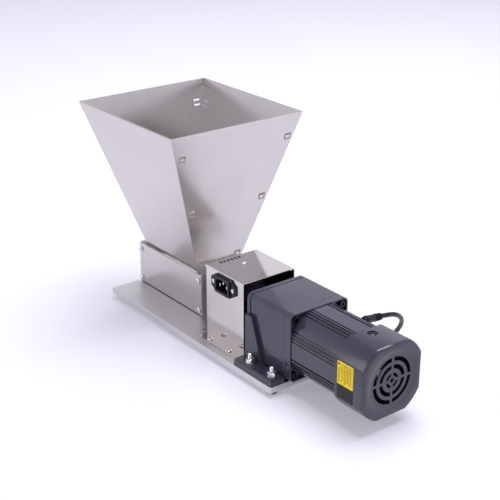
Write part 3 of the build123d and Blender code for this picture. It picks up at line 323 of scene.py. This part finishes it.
def piece(name, mesh, slot, body, *nodes):
    """Make a finished piece of a mesh: its material, its body and the nodes that it stands for."""
    thing = bpy.data.objects.new(name, mesh)
    bpy.context.scene.collection.objects.link(thing)
    mesh.materials.clear()
    mesh.materials.append(MATERIALS[slot])
    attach(thing, body)
    if nodes:
        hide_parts(*nodes)
    return thing


def shaded(mesh, angle=35.0):
    """Smooth shading that breaks at edges sharper than an angle."""
    mesh.shade_smooth()
    mesh.set_sharp_from_angle(angle=math.radians(angle))
    return mesh


def turned(profile, segments=48, relief=None):
    """A solid of (radius, height) points turned about Z.

    relief(angle, radius, height), where given, is added to each radius.
    """
    shape = bmesh.new()
    rings = []
    for radius, height in profile:
        if radius <= 0.0:
            rings.append([shape.verts.new((0.0, 0.0, height))])
            continue
        ring = []
        for index in range(segments):
            angle = 2 * math.pi * index / segments
            reach = radius + (relief(angle, radius, height) if relief else 0.0)
            ring.append(shape.verts.new((reach * math.cos(angle), reach * math.sin(angle), height)))
        rings.append(ring)
    pairs = list(zip(rings, rings[1:]))
    if len(rings[0]) > 1 and len(rings[-1]) > 1:
        pairs.append((rings[-1], rings[0]))
    for below, above in pairs:
        for index in range(segments):
            after = (index + 1) % segments
            if len(below) == 1:
                shape.faces.new((below[0], above[after], above[index]))
            elif len(above) == 1:
                shape.faces.new((below[index], below[after], above[0]))
            else:
                shape.faces.new((below[index], below[after], above[after], above[index]))
    return finished(shape)


def finished(shape):
    """Turn a bmesh into a mesh with outward faces."""
    bmesh.ops.recalc_face_normals(shape, faces=shape.faces)
    mesh = bpy.data.meshes.new("made")
    shape.to_mesh(mesh)
    shape.free()
    return mesh


def prism(outline, low, high):
    """A solid between two heights with an (x, y) outline."""
    shape = bmesh.new()
    below = [shape.verts.new((x, y, low)) for x, y in outline]
    above = [shape.verts.new((x, y, high)) for x, y in outline]
    shape.faces.new(below)
    shape.faces.new(above)
    for index in range(len(outline)):
        after = (index + 1) % len(outline)
        shape.faces.new((below[index], below[after], above[after], above[index]))
    return finished(shape)


def modified(mesh, *settings):
    """A new mesh with modifiers, given as (type, {property: value}) pairs, worked in."""
    holder = bpy.data.objects.new("holder", mesh)
    bpy.context.scene.collection.objects.link(holder)
    for kind, values in settings:
        modifier = holder.modifiers.new(kind.lower(), kind)
        for key, value in values.items():
            setattr(modifier, key, value)
    bpy.context.view_layer.update()
    graph = bpy.context.evaluated_depsgraph_get()
    result = bpy.data.meshes.new_from_object(holder.evaluated_get(graph))
    bpy.data.objects.remove(holder)
    return result


def cut(mesh, *tools):
    """A mesh with tool meshes cut out of it."""
    holders = []
    steps = []
    for tool in tools:
        holder = bpy.data.objects.new("tool", tool)
        bpy.context.scene.collection.objects.link(holder)
        holders.append(holder)
        steps.append(("BOOLEAN", {"operation": "DIFFERENCE", "solver": "EXACT", "object": holder}))
    result = modified(mesh, *steps)
    for holder in holders:
        bpy.data.objects.remove(holder)
    return result


def merged(*parts):
    """One mesh of several (mesh, matrix) parts."""
    shape = bmesh.new()
    for mesh, matrix in parts:
        start = len(shape.verts)
        shape.from_mesh(mesh)
        shape.verts.ensure_lookup_table()
        bmesh.ops.transform(shape, matrix=matrix, verts=shape.verts[start:])
    mesh = bpy.data.meshes.new("merged")
    shape.to_mesh(mesh)
    shape.free()
    return mesh


def aim(point, direction, spin=0.0):
    """The matrix that takes a shape drawn along +Z about the origin to a point and a direction."""
    turn = Vector(direction).to_track_quat("Z", "Y").to_matrix().to_4x4()
    return Matrix.Translation(Vector(point)) @ turn @ Matrix.Rotation(spin, 4, "Z")


def solids_of(node):
    """The (low, high) boxes of a node's separate solids."""
    shape = bmesh.new()
    shape.from_mesh(NODES[node].data)
    bmesh.ops.remove_doubles(shape, verts=shape.verts, dist=1e-6)
    seen = set()
    boxes = []
    for seed in shape.verts:
        if seed in seen:
            continue
        seen.add(seed)
        group = [seed]
        for vert in group:
            for edge in vert.link_edges:
                other = edge.other_vert(vert)
                if other not in seen:
                    seen.add(other)
                    group.append(other)
        low = Vector([min(v.co[axis] for v in group) for axis in range(3)])
        high = Vector([max(v.co[axis] for v in group) for axis in range(3)])
        boxes.append((low, high))
    shape.free()
    return boxes


def fastener_places(node, direction_at):
    """For each solid of a fastener node: the middle of its outer end, its direction and its box."""
    places = []
    for low, high in solids_of(node):
        centre = (low + high) / 2
        direction = Vector(direction_at(centre))
        half = (high - low) / 2
        reach = sum(abs(direction[axis]) * half[axis] for axis in range(3))
        places.append((centre + direction * reach, direction, (low, high)))
    return places


# ---- dressing of the carried-over nodes ----


def dress(slot, *nodes, bevel=0.0, segments=2):
    """Give CAD nodes their material, and soften their edges with modifiers."""
    for node in nodes:
        thing = NODES[node]
        thing.data.materials.clear()
        thing.data.materials.append(MATERIALS[slot])
        if not bevel:
            continue
        if "custom_normal" in thing.data.attributes:
            thing.data.attributes.remove(thing.data.attributes["custom_normal"])
        thing.data.shade_smooth()
        weld = thing.modifiers.new("weld", "WELD")
        weld.merge_threshold = 1e-6
        plain = thing.modifiers.new("plain", "DECIMATE")
        plain.decimate_type = "DISSOLVE"
        plain.angle_limit = math.radians(0.5)
        rounding = thing.modifiers.new("rounding", "BEVEL")
        rounding.width = bevel
        rounding.segments = segments
        rounding.limit_method = "ANGLE"
        rounding.angle_limit = math.radians(30)
        rounding.harden_normals = True


# ---- fasteners ----


def cross_cutter(width, depth):
    """The two tapered arms of a cross-head screw's recess, whose mouth is at Z = 0."""
    ends = ((-depth, width * 0.22, width * 0.06), (0.0002, width / 2, width * 0.10))
    arms = []
    for turn in (0.0, math.pi / 2):
        shape = bmesh.new()
        rows = []
        for height, half_long, half_wide in ends:
            rows.append([
                shape.verts.new((x * half_long, y * half_wide, height))
                for x, y in ((-1, -1), (1, -1), (1, 1), (-1, 1))
            ])
        shape.faces.new(rows[0])
        shape.faces.new(rows[1])
        for index in range(4):
            after = (index + 1) % 4
            shape.faces.new((rows[0][index], rows[0][after], rows[1][after], rows[1][index]))
        arm = finished(shape)
        arm.transform(Matrix.Rotation(turn, 4, "Z"))
        arms.append(arm)
    return arms


def thread_relief(pitch, depth, top, bottom):
    """A helical thread between two heights, running out smoothly at each end."""
    def relief(angle, radius, height):
        if not bottom < height < top:
            return 0.0
        phase = (height / pitch - angle / (2 * math.pi)) % 1.0
        return -depth * abs(2 * phase - 1)
    return relief


def threaded(radius, low, high, pitch, chamfer):
    """The profile points of a threaded shank between two heights, six to each turn of the thread."""
    steps = max(2, int((high - low) / pitch * 6))
    profile = [(radius - chamfer, low), (radius, low + chamfer)]
    inner_low = low + chamfer
    inner_high = high - chamfer
    for step in range(1, steps):
        profile.append((radius, inner_low + (inner_high - inner_low) * step / steps))
    profile += [(radius, inner_high), (radius - chamfer, high)]
    return profile


def pan_head(head_r, head_h, shank_r, length):
    """A cross-head pan screw along +Z: the crown of its head is at Z = 0."""
    dome = [(0.0, 0.0)]
    for step in range(1, 9):
        turn = math.radians(11.25 * step)
        dome.append((head_r * math.sin(turn) ** 0.8, -head_h * 0.62 * (1 - math.cos(turn))))
    profile = dome + [(head_r, -head_h * 0.86), (head_r * 0.96, -head_h)]
    profile += [(shank_r, -head_h), (shank_r, -length + 0.0004)]
    profile += [(shank_r * 0.7, -length), (0.0, -length)]
    body = turned(profile[::-1], 32)
    return shaded(cut(body, *cross_cutter(head_r * 1.15, head_h * 0.75)), 38.0)


def scatter_screws(node, direction_at, slot="bright_zinc", head_h=0.0022, shank_r=0.002, seed=1):
    """Replace a node of identical pan screws with detailed ones, each turned by chance."""
    chance = random.Random(seed)
    places = fastener_places(node, direction_at)
    point, direction, (low, high) = places[0]
    size = high - low
    axis = max(range(3), key=lambda index: abs(direction[index]))
    length = size[axis]
    head_r = max(size[other] for other in range(3) if other != axis) / 2
    screw = pan_head(head_r, head_h, shank_r, length)
    parts = []
    for point, direction, _ in places:
        parts.append((screw, aim(point, direction, chance.uniform(0, math.pi))))
    body = NODES[node]["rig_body"]
    return piece(node + "_detailed", shaded(merged(*parts), 38.0), slot, body, node)


def hexagon(radius):
    """The outline of a hexagon about the origin, by the radius of its corners."""
    return [(radius * math.cos(math.pi / 3 * k), radius * math.sin(math.pi / 3 * k)) for k in range(6)]


def hex_nut(across_flats, height, bore):
    """A chamfered hexagon nut standing on Z = 0, with a countersunk bore."""
    radius = across_flats / math.sqrt(3)
    crown = turned([(0.0, 0.0), (across_flats * 0.485, 0.0), (radius * 1.02, height * 0.16),
                    (radius * 1.02, height * 0.84), (across_flats * 0.485, height), (0.0, height)], 48)
    body = prism(hexagon(radius), 0.0, height)
    trimmed = bpy.data.objects.new("crown", crown)
    bpy.context.scene.collection.objects.link(trimmed)
    nut = modified(body, ("BOOLEAN", {"operation": "INTERSECT", "solver": "EXACT", "object": trimmed}))
    bpy.data.objects.remove(trimmed)
    hole = turned([(0.0, -0.001), (bore + 0.0006, -0.001), (bore + 0.0003, 0.0), (bore, 0.0005),
                   (bore, height - 0.0005), (bore + 0.0003, height), (bore + 0.0006, height + 0.001),
                   (0.0, height + 0.001)], 32)
    return shaded(cut(nut, hole), 30.0)


# ---- pieces ----


def make_floor():
    """A plain pale floor that runs out of every view."""
    corners = [(x * FLOOR_HALF, y * FLOOR_HALF, 0) for x, y in ((-1, -1), (1, -1), (1, 1), (-1, 1))]
    mesh = bpy.data.meshes.new("floor")
    mesh.from_pydata(corners, [], [(0, 1, 2, 3)])
    floor = bpy.data.objects.new("floor", mesh)
    surface = Surface("studio_floor", (0.52, 0.52, 0.575), 0.8, specular=0.1)
    surface.vary_colour(surface.noise(3.0), (0.51, 0.51, 0.565))
    surface.shader.inputs["Emission Color"].default_value = (0.90, 0.90, 1.0, 1.0)
    surface.shader.inputs["Emission Strength"].default_value = 0.28
    mesh.materials.append(surface.material)
    bpy.context.scene.collection.objects.link(floor)


LIGHT_TARGET = Vector((-0.03, 0.0, 0.12))

# The surround: the sine of the height above the horizon, and the colour there.
SURROUND = (
    (0.02, (0.78, 0.78, 0.87)),
    (0.40, (0.94, 0.93, 1.03)),
    (0.75, (0.40, 0.375, 0.37)),
)


def area_light(name, place, size, power):
    """A soft, nearly neutral rectangular light aimed at the middle of the mill."""
    data = bpy.data.lights.new(name, "AREA")
    data.shape = "RECTANGLE"
    data.size, data.size_y = size
    data.energy = power
    data.color = (1.0, 0.99, 1.0)
    light = bpy.data.objects.new(name, data)
    light.location = place
    light.rotation_mode = "QUATERNION"
    light.rotation_quaternion = (LIGHT_TARGET - Vector(place)).to_track_quat("-Z", "Y")
    bpy.context.scene.collection.objects.link(light)


def make_lights():
    """Soft studio light: a graded surround, a faint softbox at the left and a wide one overhead."""
    world = bpy.data.worlds.new("studio")
    world.use_nodes = True
    nodes = world.node_tree.nodes
    links = world.node_tree.links
    coordinates = nodes.new("ShaderNodeTexCoord")
    split = nodes.new("ShaderNodeSeparateXYZ")
    ramp = nodes.new("ShaderNodeValToRGB")
    links.new(coordinates.outputs["Generated"], split.inputs["Vector"])
    links.new(split.outputs["Z"], ramp.inputs["Fac"])
    links.new(ramp.outputs["Color"], nodes["Background"].inputs["Color"])
    stops = ramp.color_ramp.elements
    stops.new(SURROUND[1][0])
    for stop, (position, colour) in zip(stops, SURROUND):
        stop.position = position
        stop.color = (*colour, 1.0)
    bpy.context.scene.world = world
    area_light("left_softbox", (-1.0, -2.4, 1.5), (1.6, 1.2), 9.0)
    area_light("overhead_softbox", (-0.1, 0.6, 2.6), (2.0, 2.2), 90.0)


# The cord's route: the same points as the frame's tube follows, in metres.
CORD_DIAMETER = 0.006
CORD_POINTS = (
    (0.1817, 0.0405, 0.0924),
    (0.1812, 0.0605, 0.0900),
    (0.1770, 0.0800, 0.0785),
    (0.1665, 0.0935, 0.0605),
    (0.1500, 0.0985, 0.0380),
    (0.1270, 0.0970, 0.0175),
    (0.1030, 0.0920, 0.0055),
    (0.0760, 0.0905, 0.0030),
    (0.0510, 0.0945, 0.0050),
    (0.0290, 0.0955, 0.0150),
    (0.0120, 0.0865, 0.0260),
    (0.0015, 0.0715, 0.0360),
    (-0.0013, 0.0535, 0.0405),
    (-0.0013, 0.0365, 0.0430),
)


def make_cord():
    """The lead from the motor to the cover, on one smooth curve."""
    data = bpy.data.curves.new("motor_lead", "CURVE")
    data.dimensions = "3D"
    spline = data.splines.new("NURBS")
    spline.points.add(len(CORD_POINTS) - 1)
    for point, place in zip(spline.points, CORD_POINTS):
        point.co = (*place, 1.0)
    spline.order_u = 3
    spline.use_endpoint_u = True
    spline.resolution_u = 12
    data.bevel_depth = CORD_DIAMETER / 2
    data.bevel_resolution = 6
    data.use_fill_caps = True
    data.materials.append(MATERIALS["cord_pvc"])
    lead = bpy.data.objects.new("motor_lead", data)
    bpy.context.scene.collection.objects.link(lead)
    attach(lead, "root")
    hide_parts("motor_cord")


def knurl_relief(pitch, depth, low, high):
    """Diamond knurling between two heights: two crossing sets of helical cuts."""
    def relief(angle, radius, height):
        if not low < height < high:
            return 0.0
        around = angle * radius
        first = ((around + height) / pitch) % 1.0
        second = ((around - height) / pitch) % 1.0
        groove = max(abs(2 * first - 1), abs(2 * second - 1))
        return -depth * groove ** 2
    return relief


def make_roller(node, journal_r, body):
    """A knurled roller with chamfered drum ends and turned journals."""
    low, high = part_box(node)
    start, end = drum_span()
    pitch = 2 * math.pi * ROLLER_R / KNURL_TEETH
    rows = int((end - start) / pitch * 5)
    neck_r = journal_r - JOURNAL_CHAMFER
    knurl_start = start + ROLLER_CHAMFER
    knurl_end = end - ROLLER_CHAMFER
    profile = [(0.0, low.x), (neck_r, low.x), (journal_r, low.x + JOURNAL_CHAMFER), (journal_r, start)]
    profile += [(ROLLER_R - ROLLER_CHAMFER, start), (ROLLER_R, knurl_start)]
    for row in range(1, rows):
        profile.append((ROLLER_R, knurl_start + (knurl_end - knurl_start) * row / rows))
    profile += [(ROLLER_R, knurl_end), (ROLLER_R - ROLLER_CHAMFER, end), (journal_r, end)]
    profile += [(journal_r, high.x - JOURNAL_CHAMFER), (neck_r, high.x), (0.0, high.x)]
    run_out = ROLLER_CHAMFER / 2
    relief = knurl_relief(pitch, KNURL_DEPTH, knurl_start + run_out, knurl_end - run_out)
    mesh = turned(profile, KNURL_TEETH * 5, relief)
    mesh.transform(aim((0.0, middle(node).y, SHAFT_Z), (1, 0, 0)))
    return piece(node + "_knurled", shaded(mesh, 50.0), "roller_steel", body, node)


def drum_span():
    """Where the roller drums start and end along X, just inside the two end plates."""
    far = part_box("end_plate_far")[1].x
    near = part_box("end_plate_drive")[0].x
    return far + ROLLER_END_GAP, near - ROLLER_END_GAP


def washer(outer, height):
    """A washer for a stud, standing on Z = 0, with softened rims."""
    rim = 0.0002
    bore = 0.0031
    return turned([(bore, 0.0), (outer - rim, 0.0), (outer, rim), (outer, height - rim),
                   (outer - rim, height), (bore, height)], 48)


def make_studs_and_nuts():
    """The bracket's threaded studs, hexagon nuts and washers."""
    places = fastener_places("bracket_studs", lambda centre: (0, 0, 1))
    stud_parts = []
    for top, _, (low, high) in places:
        length = high.z - low.z
        head = 0.002 if low.z < 0.005 else 0.004
        neck = -length + head
        profile = [(0.0, -length), (STUD_HEAD_R, -length), (STUD_HEAD_R, neck), (STUD_R, neck + 1e-4)]
        profile += threaded(STUD_R, neck + 2e-4, 0.0, THREAD_PITCH, STUD_CHAMFER)[1:] + [(0.0, 0.0)]
        relief = thread_relief(THREAD_PITCH, THREAD_DEPTH, -STUD_CHAMFER - 1e-4, THREAD_END)
        stud_parts.append((turned(profile, 36, relief), Matrix.Translation(top)))
    studs = shaded(merged(*stud_parts), 60.0)
    piece("bracket_studs_threaded", studs, "bright_zinc", "root", "bracket_studs")
    chance = random.Random(11)
    nut_parts = []
    for low, high in solids_of("stud_nuts"):
        centre = (low + high) / 2
        height = high.z - low.z
        at = Matrix.Translation((centre.x, centre.y, low.z))
        if height > 0.002:
            turn = Matrix.Rotation(chance.uniform(0, math.pi / 3), 4, "Z")
            nut_parts.append((hex_nut(STUD_NUT_FLATS, height, STUD_NUT_BORE), at @ turn))
        else:
            nut_parts.append((washer((high.x - low.x) / 2, height), at))
    piece("stud_nuts_chamfered", shaded(merged(*nut_parts), 30.0), "bright_zinc", "root", "stud_nuts")


def head_knurl(angle, radius, height):
    """The knurl round a socket screw's head, which leaves the shank and the head's two rims plain."""
    if radius > 0.004 and -0.0046 < height < -0.0004:
        return -0.00015 * (1 + math.cos(36 * angle))
    return 0.0


def make_frame_screws():
    """Socket cap screws through the gearhead, and their nuts behind the bracket."""
    parts = []
    for point, direction, (low, high) in fastener_places("frame_screws", lambda centre: (1, 0, 0)):
        head_r = (high.y - low.y) / 2
        length = high.x - low.x
        profile = [(0.0, 0.0), (head_r - 0.0005, 0.0), (head_r, -0.0005), (head_r, -FRAME_HEAD_H)]
        profile += [(FRAME_SCREW_R, -FRAME_HEAD_H), (FRAME_SCREW_R, -length + 0.0005)]
        profile += [(0.0020, -length), (0.0, -length)]
        body = turned(profile[::-1], 144, head_knurl)
        socket = prism(hexagon(SOCKET_R), -SOCKET_DEPTH, 0.001)
        parts.append((cut(body, socket), aim(point, direction, 0.3)))
    piece("frame_screws_socket", shaded(merged(*parts), 40.0), "black_oxide", "root", "frame_screws")
    parts = []
    for index, (low, high) in enumerate(solids_of("frame_nuts")):
        centre = (low + high) / 2
        nut = hex_nut(FRAME_NUT_FLATS, high.x - low.x, FRAME_NUT_BORE)
        parts.append((nut, aim((low.x, centre.y, centre.z), (1, 0, 0), 0.25 * index)))
    piece("frame_nuts_chamfered", shaded(merged(*parts), 30.0), "bright_zinc", "root", "frame_nuts")


def make_screws():
    """Every cross-head screw."""
    def upward(centre):
        return (0, 0, 1)

    def downward(centre):
        return (0, 0, -1)

    def leftward(centre):
        return (0, -1, 0)

    def off_the_mill(centre):
        return (0, math.copysign(1, centre.y), 0)

    def off_the_motor(centre):
        return (0, 0, math.copysign(1, centre.z - MOTOR_Z))

    scatter_screws("mill_cover_screws", off_the_mill, seed=1)
    scatter_screws("cover_screws", upward, seed=2)
    scatter_screws("hopper_flange_screws", upward, head_h=0.002, seed=4)
    scatter_screws("fan_cover_screws", off_the_motor, "black_oxide", head_h=0.0019, seed=5)
    scatter_screws("inlet_screws", leftward, head_h=0.0014, shank_r=0.0015, seed=6)
    scatter_screws("capacitor_screw", upward, head_h=0.0016, seed=7)
    scatter_screws("foot_screws", downward, head_h=0.002, seed=8)


def bars(boxes):
    """One mesh of flat boxes, each given as ((x, x), (y, y), (z, z))."""
    parts = []
    for x, y, z in boxes:
        outline = [(x[0], y[0]), (x[1], y[0]), (x[1], y[1]), (x[0], y[1])]
        parts.append((prism(outline, *z), Matrix.Identity(4)))
    return merged(*parts)


def rounded_outline(left, right, bottom, top, corner):
    """The outline of a rectangle with rounded corners."""
    centres = (
        (right - corner, top - corner),
        (left + corner, top - corner),
        (left + corner, bottom + corner),
        (right - corner, bottom + corner),
    )
    outline = []
    for index, (x, y) in enumerate(centres):
        for step in range(5):
            angle = math.pi / 2 * (index + step / 4)
            outline.append((x + corner * math.cos(angle), y + corner * math.sin(angle)))
    return outline


def make_label():
    """The rating label: a yellow film, plain printed bars on it and a dark blank patch below."""
    low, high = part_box("label_plate")
    width = high.x - low.x
    height = high.z - low.z
    film = prism(rounded_outline(low.x, high.x, low.z, high.z, 0.0012), 0.0, high.y - low.y)
    film.transform(Matrix(((1, 0, 0, 0), (0, 0, -1, high.y), (0, 1, 0, 0), (0, 0, 0, 1))))
    piece("label_film", shaded(film, 30.0), "label_yellow", "root", "label_plate")
    ink_y = (low.y - INK, low.y)
    chance = random.Random(21)
    mark_x = (low.x + 0.06 * width, low.x + 0.15 * width)
    boxes = [(mark_x, ink_y, (high.z - 0.17 * height, high.z - 0.07 * height))]
    for column in range(7):
        x = low.x + width * (0.24 + 0.10 * column)
        top = high.z - height * 0.07
        while top > low.z + height * 0.16:
            run = height * chance.uniform(0.05, 0.16)
            boxes.append(((x, x + 0.028 * width), ink_y, (top - run, top)))
            top -= run + height * 0.035
    for row in range(11):
        z = low.z + height * (0.10 + 0.06 * row)
        boxes.append(((low.x + 0.06 * width, low.x + 0.16 * width), ink_y, (z, z + 0.025 * height)))
    piece("label_print", bars(boxes), "black_plastic", "root")
    patch = bars([((low.x, high.x), (low.y, high.y), (low.z - 0.018, low.z - 0.0008))])
    piece("blank_patch", patch, "black_plastic", "root")


def make_cover_marks():
    """A plain row of equal printed dashes along the back of the cover's top."""
    low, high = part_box("coupling_cover")
    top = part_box("run_capacitor")[1].z + COVER_SHEET
    boxes = []
    for index in range(6):
        y = DRIVE_Y - 0.024 + 0.0058 * index
        boxes.append(((low.x + 0.0045, low.x + 0.0105), (y, y + 0.0034), (top, top + INK)))
    piece("cover_print", bars(boxes), "black_plastic", "root")


def make_relief_rings():
    """The moulded rings round the motor's strain relief."""
    tip = Vector(CORD_POINTS[0])
    inward = tip - Vector(CORD_POINTS[1])
    rings = []
    for index in range(5):
        place = 0.0012 + 0.0022 * index
        radius = RELIEF_TIP_R + RELIEF_TIP_GROWTH * place / RELIEF_LENGTH + 0.0001
        rings.append((turned([(radius - 0.0006, place), (radius + 0.0005, place + 0.0002),
                              (radius + 0.0005, place + 0.0008), (radius - 0.0006, place + 0.0010)], 48),
                      aim(tip, inward)))
    return piece("strain_relief_rings", shaded(merged(*rings), 30.0), "black_plastic", "root")


# ---- camera, cord and studio ----
make_camera()
make_cord()
make_floor()
make_lights()

# ---- carried-over nodes ----
SHEETS = ("hopper_end_drive", "hopper_end_far", "hopper_side_left", "hopper_side_right")
TURNED_PARTS = ("gap_adjuster_far", "gap_adjuster_drive", "coupling_hub_roller", "coupling_hub_motor")
GEAR_PARTS = ("motor_shaft", "intermediate_gear_shaft", "output_gear", "output_shaft", "output_key")
dress("brushed_aluminium", "base_plate", bevel=0.0004)
dress("hopper_steel", *SHEETS, bevel=0.00045)
dress("hopper_steel", "mill_cover_left", "mill_cover_right", bevel=0.0003)
dress("cover_steel", "coupling_cover", bevel=0.0002)
dress("mill_steel", "end_plate_far", "end_plate_drive", bevel=0.0005)
dress("motor_paint", "foot_bracket", bevel=0.0008, segments=3)
dress("motor_paint", "gearhead_case", "motor_flange", bevel=0.0007, segments=3)
dress("motor_paint", "motor_housing", bevel=0.00025)
dress("motor_paint", "fan_cover", bevel=0.0005)
dress("black_plastic", "power_inlet", "switch_body", bevel=0.0004)
dress("switch_red", "switch_rocker", bevel=0.0004)
dress("bright_zinc", "inlet_pins", bevel=0.0004)
dress("black_plastic", "motor_strain_relief", "cover_cable_gland", bevel=0.0003)
dress("foot_rubber", "rubber_feet", bevel=0.0004)
dress("bright_zinc", "end_plate_bolts")
dress("mill_steel", *TURNED_PARTS, bevel=0.0003)
dress("bright_zinc", "adjuster_lock_screws", "coupling_set_screws", bevel=0.0002)
dress("bronze", "roller_bushes", bevel=0.0003)
dress("capacitor_plastic", "run_capacitor", bevel=0.0005)
dress("spider_rubber", "coupling_spider", bevel=0.0004)
dress("mill_steel", "gearhead_rear_plate", "rear_end_bell", bevel=0.0003)
dress("bearing_steel", "gearhead_bearings", "motor_bearings", bevel=0.0002)
dress("gear_steel", *GEAR_PARTS)
dress("lamination_steel", "stator_core", "rotor_core")
dress("copper_winding", "stator_windings")
dress("fan_plastic", "cooling_fan", bevel=0.0003)

# ---- detailed pieces ----
make_roller("driven_roller", DRIVEN_JOURNAL_R, "drive_line")
make_roller("idler_roller", IDLER_JOURNAL_R, "idler")
make_studs_and_nuts()
make_frame_screws()
make_screws()
make_label()
make_cover_marks()
make_relief_rings()

# ---- view transform ----
bpy.context.scene.view_settings.view_transform = "Standard"
bpy.context.view_layer.update()
